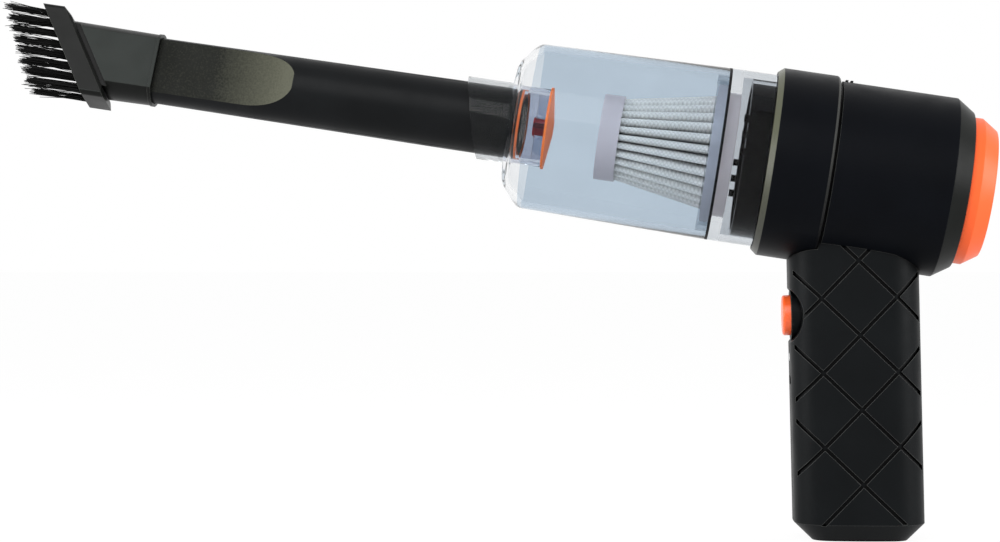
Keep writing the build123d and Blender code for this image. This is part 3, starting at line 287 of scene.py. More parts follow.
def lathe(outline, steps):
    """Draws one vertex along an outline of (station, radius) points and spins it about the barrel."""
    deselect()
    bpy.ops.mesh.primitive_plane_add(size=MM, location=(0, 0, 0))
    piece = bpy.context.object
    bpy.ops.object.mode_set(mode="EDIT")
    bpy.ops.mesh.select_all(action="SELECT")
    bpy.ops.mesh.merge(type="CENTER")
    points = [barrel_point(station, radius) for station, radius in outline]
    bpy.ops.transform.translate(value=points[0])
    for here, there in zip(points, points[1:] + points[:1]):
        bpy.ops.mesh.extrude_vertices_move(TRANSFORM_OT_translate={"value": there - here})
    bpy.ops.mesh.select_all(action="SELECT")
    bpy.ops.mesh.remove_doubles(threshold=SAME_POINT)
    bpy.ops.mesh.select_all(action="SELECT")
    bpy.ops.mesh.spin(steps=steps, angle=2 * math.pi, center=CROSSING, axis=REAR)
    bpy.ops.mesh.select_all(action="SELECT")
    bpy.ops.mesh.remove_doubles(threshold=SEAM)
    bpy.ops.mesh.normals_make_consistent(inside=False)
    bpy.ops.object.mode_set(mode="OBJECT")
    return piece


def bend(start, corner, end):
    """Points that round a corner of an outline."""
    points = []
    for part in range(CORNER_PARTS + 1):
        way = part / CORNER_PARTS
        points.append(tuple(start * (1 - way) ** 2 + corner * 2 * way * (1 - way) + end * way**2))
    return points


def rounded(points, radius, corners):
    """An outline with the named corners rounded."""
    result = []
    count = len(points)
    for index, point in enumerate(points):
        if index not in corners:
            result.append(point)
            continue
        here = Vector(point)
        before = (Vector(points[index - 1]) - here).normalized() * radius
        after = (Vector(points[(index + 1) % count]) - here).normalized() * radius
        result += bend(here + before, here, here + after)
    return result


def second_finish(piece, finish, chosen):
    """Gives one more finish to the faces that a rule picks: by station, radius, normal and way out."""
    piece.data.materials.append(material_of(finish))
    for polygon in piece.data.polygons:
        station = station_of(polygon.center)
        out = polygon.center - barrel_point(station)
        if chosen(station, out.length, polygon.normal, out):
            polygon.material_index = len(piece.data.materials) - 1


def skin(node, finish):
    """A merged, smooth copy of a solid that takes its place."""
    source = frame["nodes"][node]
    piece = bpy.data.objects.new(node + "_skin", source.data.copy())
    bpy.context.scene.collection.objects.link(piece)
    select_only(piece)
    bpy.ops.object.mode_set(mode="EDIT")
    bpy.ops.mesh.select_all(action="SELECT")
    bpy.ops.mesh.remove_doubles(threshold=SAME_POINT)
    bpy.ops.mesh.dissolve_limited(angle_limit=FLAT_ANGLE)
    bpy.ops.object.mode_set(mode="OBJECT")
    if piece.data.has_custom_normals:
        bpy.ops.mesh.customdata_custom_splitnormals_clear()
    return finish_piece(piece, node + "_skin", node, finish, replaces=(node,))


def slants(facing):
    """Whether a face that turns this much along the barrel lies aslant to it."""
    return SLANTING[0] < facing < SLANTING[1]


# ---- Finishes ----
MIX_AMOUNT, MIX_FIRST, MIX_SECOND, MIX_RESULT = 0, 6, 7, 2  # sockets of a colour mix
SOFT_SAMPLES = 6  # for soft edges and for hollows
NOISE_MIDDLE = (0.3, 0.7)  # most of a noise lies between
FINE_BUMP = 0.00001
PAINTED_EDGE_HIGHLIGHT = (0.085, 0.088, 0.085)  # painted highlight along edges
EDGE_HIGHLIGHT_TURN = (0.86, 0.99)  # how alike the soft and the plain normal are where an edge's painted highlight is full, and where it is gone
HOLLOW = 1.2 * MM  # how far a groove's walls reach when they give it painted shade
# painted shade at the bottom of a hollow
HOLLOW_PAINTED_SHADE = (0.0004, 0.0004, 0.0005)
HOLLOW_OPEN = (0.65, 0.98)  # openness where the painted shade is darkest, and of a plain face
CLOUD_GRAIN, GLOSS_GRAIN = 45.0, 120.0  # unevenness of plastic in colour and in gloss
GLOSS_SPREAD = 0.05
FLOW_GRAIN, CLEAR_GLOSS_GRAIN, WAVE_GRAIN = 60.0, 300.0, 90.0  # of clear plastic: tint, gloss and surface
CLEAR_COAT, CLEAR_COAT_ROUGHNESS = 0.12, 0.04
CLEAR_DARK = 0.97  # the darkest flow mark
CLEAR_EDGE_ON = (0.45, 0.9)  # where clear plastic starts to look dense, and is densest
CLEAR_ROUGHNESS = (0.02, 0.04)
CLEAR_BENDING = 1.1  # low, so that what is inside isn't bent away
METAL_DARK = 0.85  # the darkest line
METAL_GLOSS = (-0.05, 0.08)  # how far its roughness goes below and above
FIBRE_GRAIN = 500.0
PAPER_DARK = 0.95  # the darkest fibre
PAPER_ROUGHNESS, PAPER_SHEEN = 0.85, 0.2
FOLD_PAINTED_SHADE = 0.24  # painted shade at the bottom of a fold
FOLD_SPAN = (0.25, 0.95)  # depth in a fold where its painted shade starts, and where it is darkest
EMBOSS = 1.5 * MM  # size of one diamond in the filter paper
EMBOSS_RADIUS = 18.0 * MM
EMBOSS_DEPTH = 0.00012
# painted shade in the emboss's pressed lines
EMBOSS_PAINTED_SHADE = (0.78, 0.785, 0.79)
EMBOSS_SPAN = (0.05, 0.55)
SPECKLE_GRAIN, SPECKLE = 1500.0, 0.12  # of the grainy border of a painted highlight that fades in
CHAMFER_FADE = (-30.0 * MM, 12.0 * MM)  # heights over which the painted reflections on the collar's chamfer and groove fade in, lighter towards the top
GROOVE_FADE = (-30.0 * MM, 24.0 * MM)
FLOOR_GREY, FLOOR_GLOW, FLOOR_GLOW_SHARE = 0.8, 1.05, 0.9
FINISHES = {}


def new_finish(name):
    """A material with its node tree, its shader and the object coordinates."""
    material = bpy.data.materials.new(name)
    material.use_nodes = True
    tree = material.node_tree
    tree.nodes.clear()
    output = tree.nodes.new("ShaderNodeOutputMaterial")
    shader = tree.nodes.new("ShaderNodeBsdfPrincipled")
    place = tree.nodes.new("ShaderNodeTexCoord")
    tree.links.new(shader.outputs[0], output.inputs[0])
    return material, tree, shader, place.outputs["Object"]


def set_inputs(node, values):
    """Sets a node's inputs by name."""
    for name, value in values.items():
        node.inputs[name].default_value = value


def feed(tree, socket, value):
    """Links a socket to another one, or gives it a fixed value."""
    if isinstance(value, bpy.types.NodeSocket):
        tree.links.new(value, socket)
    else:
        socket.default_value = value


def scaled(colour, amount):
    """A colour made lighter or darker."""
    return tuple(part * amount for part in colour)


def noise(tree, vector, scale, detail):
    """A noise whose grain is scale per metre."""
    grain = tree.nodes.new("ShaderNodeTexNoise")
    set_inputs(grain, {"Scale": scale, "Detail": detail})
    tree.links.new(vector, grain.inputs["Vector"])
    return grain.outputs["Fac"]


def spread(tree, value, low, high, start=NOISE_MIDDLE[0], end=NOISE_MIDDLE[1]):
    """Maps a value's middle part to low..high."""
    ramp = tree.nodes.new("ShaderNodeMapRange")
    set_inputs(ramp, {"From Min": start, "From Max": end, "To Min": low, "To Max": high})
    tree.links.new(value, ramp.inputs["Value"])
    return ramp.outputs["Result"]


def calculate(tree, operation, *values):
    """One step of arithmetic on sockets or numbers."""
    step = tree.nodes.new("ShaderNodeMath")
    step.operation = operation
    for socket, value in zip(step.inputs, values):
        feed(tree, socket, value)
    return step.outputs[0]


def dot_product(tree, first, second):
    """How far one direction goes along another."""
    dot = tree.nodes.new("ShaderNodeVectorMath")
    dot.operation = "DOT_PRODUCT"
    feed(tree, dot.inputs[0], first)
    feed(tree, dot.inputs[1], second)
    return dot.outputs["Value"]


def along(tree, place, way):
    """How far a point lies along a direction, from the barrel's middle."""
    return calculate(tree, "SUBTRACT", dot_product(tree, place, way), CROSSING.dot(way))


def blend_colours(tree, amount, first, second, kind="MIX"):
    """Mixes two colours, each a tuple or a socket, by a value."""
    mix = tree.nodes.new("ShaderNodeMix")
    mix.data_type = "RGBA"
    mix.blend_type = kind
    for index, colour in ((MIX_FIRST, first), (MIX_SECOND, second)):
        feed(tree, mix.inputs[index], (*colour, 1.0) if isinstance(colour, tuple) else colour)
    tree.links.new(amount, mix.inputs[MIX_AMOUNT])
    return mix.outputs[MIX_RESULT]


def soft_normal(tree, radius):
    """The normal as it is when edges are rounded by a radius."""
    soft = tree.nodes.new("ShaderNodeBevel")
    soft.samples = SOFT_SAMPLES
    soft.inputs["Radius"].default_value = radius
    return soft.outputs["Normal"]


def add_bump(tree, shader, height, depth, edge=0.0):
    """Bump of a depth in metres, on edges softened by a radius."""
    bump = tree.nodes.new("ShaderNodeBump")
    set_inputs(bump, {"Distance": depth, "Strength": 1.0})
    if edge > 0:
        tree.links.new(soft_normal(tree, edge), bump.inputs["Normal"])
    tree.links.new(height, bump.inputs["Height"])
    tree.links.new(bump.outputs["Normal"], shader.inputs["Normal"])


def moulded(name, colour, roughness, grain=2600.0, depth=0.00002, sheen=0.5, worn=0.25, edge=0.0,
            painted_edge_highlight=None, glow=0.0):
    """Moulded plastic: spark-eroded grain, a little uneven in colour and gloss, with soft edges; it can take a
    painted highlight along its edges, painted shade in its hollows and a painted glow.
    """
    material, tree, shader, place = new_finish(name)
    cloud = spread(tree, noise(tree, place, CLOUD_GRAIN, 3.0), 0.0, 1.0)
    lighter = tuple(min(1.0, part) for part in scaled(colour, 1.0 + worn))
    base = blend_colours(tree, cloud, scaled(colour, 1.0 - worn * 0.5), lighter)
    # painted highlight on outer edges and painted shade in hollows
    if painted_edge_highlight:
        base = paint_edge_highlight_and_hollow_shade(tree, base, painted_edge_highlight, edge)
    tree.links.new(base, shader.inputs["Base Color"])
    gloss = noise(tree, place, GLOSS_GRAIN, 3.0)
    tree.links.new(spread(tree, gloss, roughness - GLOSS_SPREAD, roughness + GLOSS_SPREAD),
                   shader.inputs["Roughness"])
    shader.inputs["Specular IOR Level"].default_value = sheen
    # a painted glow: the part glows though it is no lamp
    if glow:
        set_inputs(shader, {"Emission Color": (*colour, 1.0), "Emission Strength": glow})
    add_bump(tree, shader, noise(tree, place, grain, 2.0), depth, edge)
    return material


def paint_edge_highlight_and_hollow_shade(tree, base, painted_edge_highlight, edge):
    """Paints a highlight onto a colour along outer edges, and paints shade into hollows."""
    hollow = tree.nodes.new("ShaderNodeAmbientOcclusion")
    hollow.samples = SOFT_SAMPLES
    hollow.inputs["Distance"].default_value = HOLLOW
    openness = spread(tree, hollow.outputs["AO"], 0.0, 1.0, *HOLLOW_OPEN)
    painted_hollow_shade = blend_colours(tree, openness, HOLLOW_PAINTED_SHADE, base)
    shape = tree.nodes.new("ShaderNodeNewGeometry")
    alike = dot_product(tree, soft_normal(tree, edge), shape.outputs["Normal"])
    turn = spread(tree, alike, 1.0, 0.0, *EDGE_HIGHLIGHT_TURN)
    return blend_colours(tree, calculate(tree, "MULTIPLY", turn, openness), painted_hollow_shade, painted_edge_highlight)


def clear(name, colour, density=1.9):
    """Clear polished plastic with faint flow marks from the mould, denser where it is seen edge on."""
    material, tree, shader, place = new_finish(name)
    set_inputs(shader, {"Transmission Weight": 1.0, "IOR": CLEAR_BENDING, "Coat Weight": CLEAR_COAT,
                        "Coat Roughness": CLEAR_COAT_ROUGHNESS})
    cloud = spread(tree, noise(tree, place, FLOW_GRAIN, 2.0), 0.0, 1.0)
    marked = blend_colours(tree, cloud, scaled(colour, CLEAR_DARK), colour)
    facing = tree.nodes.new("ShaderNodeLayerWeight").outputs["Facing"]
    edge_on = spread(tree, facing, 0.0, 1.0, *CLEAR_EDGE_ON)
    dense = tuple(part**density for part in colour)
    tree.links.new(blend_colours(tree, edge_on, marked, dense), shader.inputs["Base Color"])
    gloss = noise(tree, place, CLEAR_GLOSS_GRAIN, 2.0)
    tree.links.new(spread(tree, gloss, *CLEAR_ROUGHNESS), shader.inputs["Roughness"])
    add_bump(tree, shader, noise(tree, place, WAVE_GRAIN, 1.0), FINE_BUMP)
    return material


def metal(name, colour, roughness, grain=900.0):
    """Drawn or plated metal with fine lines round the barrel."""
    material, tree, shader, place = new_finish(name)
    shader.inputs["Metallic"].default_value = 1.0
    cloud = spread(tree, noise(tree, place, grain, 3.0), 0.0, 1.0)
    lined = blend_colours(tree, cloud, scaled(colour, METAL_DARK), colour)
    tree.links.new(lined, shader.inputs["Base Color"])
    gloss = spread(tree, cloud, roughness + METAL_GLOSS[0], roughness + METAL_GLOSS[1])
    tree.links.new(gloss, shader.inputs["Roughness"])
    add_bump(tree, shader, noise(tree, place, grain * 2, 2.0), FINE_BUMP)
    return material


def embossed_paper(name, colour):
    """White filter paper with painted shade in its folds, and a diamond emboss pressed into it with painted shade
    in its lines.
    """
    material, tree, shader, place = new_finish(name)
    set_inputs(shader, {"Roughness": PAPER_ROUGHNESS, "Specular IOR Level": PAPER_SHEEN})
    fold = tree.nodes.new("ShaderNodeAttribute")
    fold.attribute_name = "fold"
    fibres = spread(tree, noise(tree, place, FIBRE_GRAIN, 4.0), 0.0, 1.0)
    plain = blend_colours(tree, fibres, scaled(colour, PAPER_DARK), colour)
    depth = spread(tree, fold.outputs["Fac"], 0.0, 1.0, *FOLD_SPAN)
    shaded = blend_colours(tree, depth, plain, scaled(colour, FOLD_PAINTED_SHADE))
    around = calculate(tree, "ARCTAN2", along(tree, place, SIDE), along(tree, place, RISE))
    across = calculate(tree, "MULTIPLY", around, EMBOSS_RADIUS / EMBOSS)
    down = calculate(tree, "DIVIDE", along(tree, place, REAR), EMBOSS)
    ridges = []
    for slant in ("ADD", "SUBTRACT"):
        turns = calculate(tree, "MULTIPLY", calculate(tree, slant, across, down), math.pi)
        ridges.append(calculate(tree, "ABSOLUTE", calculate(tree, "SINE", turns)))
    diamond = calculate(tree, "MULTIPLY", *ridges)
    pressed = spread(tree, diamond, 1.0, 0.0, *EMBOSS_SPAN)
    tree.links.new(blend_colours(tree, pressed, shaded, EMBOSS_PAINTED_SHADE, "MULTIPLY"), shader.inputs["Base Color"])
    add_bump(tree, shader, diamond, EMBOSS_DEPTH)
    return material


def painted_light_fade(material, colour, way, start, end):
    """Paints light onto a finish: it turns grainily into a second colour, a painted highlight or reflection, along
    a direction.
    """
    tree = material.node_tree
    shader = next(node for node in tree.nodes if node.type == "BSDF_PRINCIPLED")
    place = next(node for node in tree.nodes if node.type == "TEX_COORD").outputs["Object"]
    plain = shader.inputs["Base Color"].links[0].from_socket
    speckle = spread(tree, noise(tree, place, SPECKLE_GRAIN, 2.0), -SPECKLE, SPECKLE)
    ramp = spread(tree, along(tree, place, way), 0.0, 1.0, start, end)
    faded = blend_colours(tree, calculate(tree, "ADD", ramp, speckle), plain, colour)
    tree.links.new(faded, shader.inputs["Base Color"])
    return material


def material_of(finish):
    """The material of a finish; all are made when the first is asked for."""
    if not FINISHES:
        FINISHES.update(make_finishes())
    return FINISHES[finish]


def make_finishes():
    """A finish for each material slot, and those that only some faces have."""
    colours = bpy.context.scene.vacuum_finish
    casing, orange = tuple(colours.casing), tuple(colours.orange)
    return {
        "shell_black": moulded("casing_black", casing, 0.40, sheen=0.05, edge=0.0004, painted_edge_highlight=PAINTED_EDGE_HIGHLIGHT),
        "rim_black": moulded("rim_black", (0.0060, 0.0068, 0.0062), 0.36, sheen=0.08, edge=0.0004),
        "collar_black": moulded("collar_black", casing, 0.36, sheen=0.05, edge=0.0004, painted_edge_highlight=PAINTED_EDGE_HIGHLIGHT),
        # the collar's front chamfer: an olive black much lighter than the collar's, lighter still towards the top:
        # painted reflection
        "chamfer_black": painted_light_fade(moulded("chamfer_black", (0.034, 0.035, 0.028), 0.32, sheen=0.2, edge=0.0003),
                                (0.086, 0.091, 0.060), RISE, *CHAMFER_FADE),
        # the groove behind the collar: black turning lighter towards the top: painted reflection
        "groove_black": painted_light_fade(moulded("groove_black", (0.004, 0.004, 0.005), 0.36, sheen=0.05, edge=0.0003),
                               (0.050, 0.051, 0.048), RISE, *GROOVE_FADE),
        # the grip: a lighter copy of the casing's black, painted light from the left
        "grip_black": moulded("grip_black", (0.0042, 0.0050, 0.0056), 0.42, sheen=0.06, edge=0.0004,
                              painted_edge_highlight=PAINTED_EDGE_HIGHLIGHT),
        "neck_black": moulded("neck_black", (0.0012, 0.0014, 0.0026), 0.14, depth=0.000002, sheen=0.02,
                              edge=0.0003, painted_edge_highlight=(0.10, 0.105, 0.12)),
        "cap_orange": moulded("cap_orange", orange, 0.38, depth=0.00001, sheen=0.3, worn=0.05, edge=0.0006),
        "button_orange": moulded("button_orange", orange, 0.3, sheen=0.5, worn=0.05, edge=0.0003),
        "cup_smoke": clear("cup_smoke", tuple(part**2 for part in colours.smoke), density=1.15),
        "cup_clear": clear("cup_clear", (0.95, 0.955, 0.96), density=3.0),
        "pipe_smoke": clear("pipe_smoke", (0.62, 0.64, 0.655), density=1.1),
        "tube_smoke": clear("tube_smoke", (0.66, 0.68, 0.75)),
        "hub_clear": clear("hub_clear", (0.84, 0.85, 0.89)),
        "carrier_clear": clear("carrier_clear", tuple(colours.carrier)),
        "valve_orange": moulded("valve_orange", (0.95, 0.19, 0.03), 0.5, sheen=0.3, worn=0.08),
        # the valve's stem: red with a painted glow, painted light inside the shaded hub
        "stem_red": moulded("stem_red", (0.85, 0.03, 0.034), 0.5, sheen=0.3, worn=0.08, glow=0.10),
        "gasket_black": moulded("gasket_black", (0.004, 0.004, 0.005), 0.6, sheen=0.1),
        "filter_paper": embossed_paper("filter_paper", tuple(colours.paper)),
        "filter_plastic": moulded("filter_plastic", (0.56, 0.49, 0.505), 0.45, sheen=0.35, worn=0.06),
        # the filter base: the filter's plastic made lighter and given a painted glow, painted light where the cup
        # shades it
        "base_plastic_painted_light": moulded("base_plastic_painted_light", (0.88, 0.81, 0.84), 0.45, sheen=0.35, worn=0.06, glow=0.10),
        "nozzle_black": moulded("nozzle_black", tuple(colours.nozzle), 0.40, grain=1100.0, depth=0.000006,
                                sheen=0.08, edge=0.0004),
        # the nozzle's scarfs: spark-eroded grain, with a painted highlight that grows lighter towards the rear
        "nozzle_grain_and_painted_light": painted_light_fade(moulded("nozzle_grain_and_painted_light", (0.0080, 0.0088, 0.0072), 0.5, grain=1500.0,
                                         depth=0.00006, sheen=0.08), (0.088, 0.090, 0.066), REAR,
                                 *(SCARF_STATION + fade for fade in SCARF_FADE)),
        "brush_black": moulded("brush_black", tuple(colours.brush), 0.34, sheen=0.10, edge=0.0004,
                               painted_edge_highlight=(0.05, 0.052, 0.046)),
        # the brush head's flat panels: a lighter copy of its black, painted reflection
        "panel_black": moulded("panel_black", (0.019, 0.0225, 0.0205), 0.40, sheen=0.10, edge=0.0004),
        "bristle_black": moulded("bristle_black", (0.004, 0.004, 0.004), 0.45, sheen=0.15),
        "fan_grey": moulded("fan_grey", (0.05, 0.05, 0.055), 0.5),
        "motor_steel": metal("motor_steel", (0.55, 0.55, 0.55), 0.32),
        "magnet_grey": moulded("magnet_grey", (0.06, 0.06, 0.06), 0.6),
        "core_steel": metal("core_steel", (0.35, 0.35, 0.36), 0.4, grain=3000.0),
        "copper": metal("copper", (0.80, 0.42, 0.26), 0.3),
        "carbon": moulded("carbon", (0.02, 0.02, 0.02), 0.5),
        "damper_rubber": moulded("damper_rubber", (0.012, 0.012, 0.012), 0.75, sheen=0.3),
        "cell_wrap": moulded("cell_wrap", (0.03, 0.14, 0.42), 0.3, depth=0.000005),
        "holder_black": moulded("holder_black", (0.02, 0.02, 0.022), 0.45),
        "nickel": metal("nickel", (0.68, 0.65, 0.58), 0.3),
        "board_green": moulded("board_green", (0.01, 0.12, 0.05), 0.3, depth=0.000008),
        "light_white": moulded("light_white", (0.80, 0.82, 0.82), 0.35, worn=0.04),
        "screw_steel": metal("screw_steel", (0.20, 0.20, 0.21), 0.35),
    }


# ---- Operators ----
class VACUUM_OT_cup(bpy.types.Operator):
    """Spins the clear dust cup with its inlet pipe and inner tube, and adds the valve's hub and spokes"""
    bl_idname = "vacuum.cup"
    bl_label = "Dust cup"

    def execute(self, context):
        cup = context.scene.vacuum_cup
        rear, radius = CUP_SPAN[1:]
        shoulder = rear - cup.barrel
        face = shoulder - cup.shoulder
        mouth = face - cup.pipe
        shoulder_radius = radius - cup.draft
        face_radius = shoulder_radius - cup.drop
        bore = NOZZLE_SPAN[2] + RUN_GAP
        pipe_radius = bore + cup.pipe_wall
        slope = math.atan2(cup.drop, cup.shoulder)
        seat = SEAL_SPAN[1] + RUN_GAP
        tube_rear = face + cup.wall + cup.tube
        tube_bore = cup.tube_radius - cup.tube_wall
        inner_face = face_radius - cup.wall * math.tan((math.pi / 2 - slope) / 2)
        inner_shoulder = shoulder + cup.wall * math.tan(slope / 2)
        outline = [(rear, radius), (shoulder, shoulder_radius), (face, face_radius), (face, pipe_radius),
                   (mouth - cup.mouth_slant, pipe_radius), (mouth - cup.mouth_slant, bore), (seat, bore),
                   (seat, tube_bore), (tube_rear, tube_bore), (tube_rear, cup.tube_radius),
                   (face + cup.wall, cup.tube_radius), (face + cup.wall, inner_face),
                   (inner_shoulder, shoulder_radius - cup.wall), (rear, radius - cup.wall)]
        bends = (1, 2, 11, 12)  # the shoulder's two edges, outside and inside
        piece = lathe(rounded(outline, cup.bend, bends), cup.steps)
        bpy.ops.object.mode_set(mode="EDIT")
        bpy.ops.mesh.select_all(action="SELECT")
        bpy.ops.mesh.bisect(plane_co=barrel_point(mouth), use_fill=True, clear_outer=True,
                            plane_no=-(REAR * 2 * pipe_radius + RISE * cup.mouth_slant).normalized())
        bpy.ops.object.mode_set(mode="OBJECT")
        apply_modifier(piece, "BEVEL", width=EDGE, segments=2, limit_method="ANGLE", angle_limit=SHARP_ANGLE)
        finish_piece(piece, "cup_shell", "dust_cup", "cup_clear", angle=25, replaces=("dust_cup",))
        second_finish(piece, "tube_smoke", lambda station, size, normal, out:
                      size < cup.tube_radius + EDGE and station > face + cup.wall)
        second_finish(piece, "pipe_smoke", lambda station, size, normal, out:
                      bore + EDGE < size < pipe_radius + EDGE and station < face - EDGE
                      and normal.dot(out) > 0)
        second_finish(piece, "cup_smoke", lambda station, size, normal, out:
                      size > shoulder_radius - EDGE and station > shoulder - EDGE and normal.dot(out) > 0)
        hub_front = tube_rear - cup.hub_length
        hub_outline = [(hub_front, cup.hub_bore), (tube_rear, cup.hub_bore), (tube_rear, cup.hub),
                       (hub_front, cup.hub)]
        finish_piece(lathe(hub_outline, cup.steps // 2), "valve_hub", "dust_cup", "hub_clear")
        for index in range(cup.spokes):
            spoke = add_spoke(cup, 2 * math.pi * index / cup.spokes, tube_rear, tube_bore)
            finish_piece(spoke, f"valve_spoke_{index + 1}", "dust_cup", "hub_clear")
        return {"FINISHED"}


def add_spoke(cup, roll, rear, bore):
    """One bar from the valve's hub to the tube's wall."""
    deselect()
    bpy.ops.mesh.primitive_cube_add(size=1.0)
    spoke = bpy.context.object
    size = (cup.hub_length, cup.spoke, bore - cup.hub + EDGE)
    middle = barrel_point(rear - cup.hub_length / 2, (bore + cup.hub) / 2, roll)
    barrel_turn = Matrix((REAR, RISE.cross(REAR).normalized(), RISE)).transposed().to_4x4()
    spoke.matrix_world = (Matrix.Translation(middle) @ barrel_turn @ Matrix.Rotation(roll, 4, "X")
                          @ Matrix.Diagonal((*size, 1)))
    apply_transforms(spoke)
    apply_modifier(spoke, "BEVEL", width=EDGE, segments=2)
    return spoke


class VACUUM_OT_pleats(bpy.types.Operator):
    """Draws the filter's folded paper as a waved ring, pulled along the cone"""
    bl_idname = "vacuum.pleats"
    bl_label = "Filter paper"

    def execute(self, context):
        paper = context.scene.vacuum_pleats
        front, rear = PLEAT_SPAN[:2]
        deselect()
        bpy.ops.mesh.primitive_circle_add(vertices=paper.folds * STEPS_PER_FOLD, radius=paper.wide)
        piece = context.object
        turn = Matrix((SIDE, RISE, REAR)).transposed().to_4x4()
        piece.matrix_world = Matrix.Translation(barrel_point(rear)) @ turn
        apply_transforms(piece)
        for index, vertex in enumerate(piece.data.vertices):
            centre = barrel_point(station_of(vertex.co))
            wave = math.sin(math.pi * index / STEPS_PER_FOLD) ** FOLD_SHARPNESS
            vertex.co = centre + (vertex.co - centre) * (1 - paper.depth * wave)
        bpy.ops.object.mode_set(mode="EDIT")
        stride = REAR * ((front - rear) / PLEAT_ROWS)
        for row in range(PLEAT_ROWS):
            here = paper.wide + (paper.narrow - paper.wide) * row / PLEAT_ROWS
            there = paper.wide + (paper.narrow - paper.wide) * (row + 1) / PLEAT_ROWS
            middle = barrel_point(rear + (front - rear) * (row + 1) / PLEAT_ROWS)
            bpy.ops.mesh.extrude_region_move(TRANSFORM_OT_translate={"value": stride})
            bpy.ops.transform.resize(value=(there / here,) * 3, center_override=middle)
        bpy.ops.object.mode_set(mode="OBJECT")
        apply_modifier(piece, "SOLIDIFY", thickness=paper.paper, offset=0)
        fold = piece.data.attributes.new("fold", "FLOAT", "POINT")
        for vertex in piece.data.vertices:
            station = station_of(vertex.co)
            ridge = paper.wide + (paper.narrow - paper.wide) * (station - rear) / (front - rear)
            out = (vertex.co - barrel_point(station)).length
            fold.data[vertex.index].value = min(1.0, max(0.0, (1 - out / ridge) / paper.depth))
        finish_piece(piece, "filter_paper_folds", "filter_pleats", "filter_paper", angle=60,
                     replaces=("filter_pleats",))
        return {"FINISHED"}


class VACUUM_OT_bristles(bpy.types.Operator):
    """Sets the bristle tufts: fine hairs, drawn once for each tuft and frayed towards their tips"""
    bl_idname = "vacuum.bristles"
    bl_label = "Bristles"

    def execute(self, context):
        settings = context.scene.vacuum_bristles
        rng = random.Random(HAIR_SEED)
        groups = tuft_groups(frame["nodes"]["brush_bristles"].data)
        tufts = []
        heights = [root.z for root, _ in groups]
        for root, tip in groups:
            hairs = []
            longer = 1 + LOW_TUFTS * (max(heights) - root.z) / (max(heights) - min(heights))
            clump = (RISE * rng.uniform(-1, 1) + SIDE * rng.uniform(-1, 1)) * settings.clump
            for _ in range(settings.hairs):
                angle = rng.uniform(0, 2 * math.pi)
                out = math.sqrt(rng.uniform(0, 1)) * settings.tuft
                across = (RISE * math.cos(angle) + SIDE * math.sin(angle)) * out
                stray = STRAY_SPREAD if rng.random() < STRAY_SHARE else 1.0
                fray = (RISE * rng.gauss(0, 1) + SIDE * rng.gauss(0, 1)) * settings.fray * stray
                reach = (tip - root) * rng.uniform(*HAIR_REACH) * longer
                hairs.append((root + across, root + across * TIP_SHARE + clump + fray + reach))
            tufts.append(hair_bundle(hairs, settings.thickness))
        finish_piece(join(tufts), "bristle_tufts", "brush_bristles", "bristle_black", angle=60,
                     replaces=("brush_bristles",))
        return {"FINISHED"}


def tuft_groups(mesh):
    """Foot and tip of every tuft: the loose parts of the solid's mesh."""
    parent = list(range(len(mesh.vertices)))
    seen = {}

    def find(item):
        while parent[item] != item:
            parent[item] = parent[parent[item]]
            item = parent[item]
        return item

    for vertex in mesh.vertices:
        key = tuple(round(part, 6) for part in vertex.co)
        if key in seen:
            parent[find(vertex.index)] = find(seen[key])
        else:
            seen[key] = vertex.index
    for polygon in mesh.polygons:
        for other in polygon.vertices[1:]:
            parent[find(other)] = find(polygon.vertices[0])
    groups = {}
    for vertex in mesh.vertices:
        groups.setdefault(find(vertex.index), []).append(vertex.co)
    result = []
    for points in groups.values():
        stations = [station_of(point) for point in points]
        low, high = min(stations), max(stations)
        tips = [point for point, station in zip(points, stations) if station < low + TUFT_END]
        feet = [point for point, station in zip(points, stations) if station > high - TUFT_END]
        result.append((sum(feet, Vector()) / len(feet), sum(tips, Vector()) / len(tips)))
    return sorted(result, key=lambda pair: (round(pair[0].y, 4), pair[0].z))


def hair_bundle(hairs, thickness):
    """One tuft's hairs, each a thin tapered cone, joined."""
    deselect()
    made = []
    for start, end in hairs:
        bpy.ops.mesh.primitive_cone_add(vertices=HAIR_SIDES, radius1=thickness / 2, radius2=thickness / 3,
                                        depth=(end - start).length, location=(start + end) / 2,
                                        rotation=(end - start).to_track_quat("Z", "Y").to_euler())
        made.append(bpy.context.object)
    return join(made)


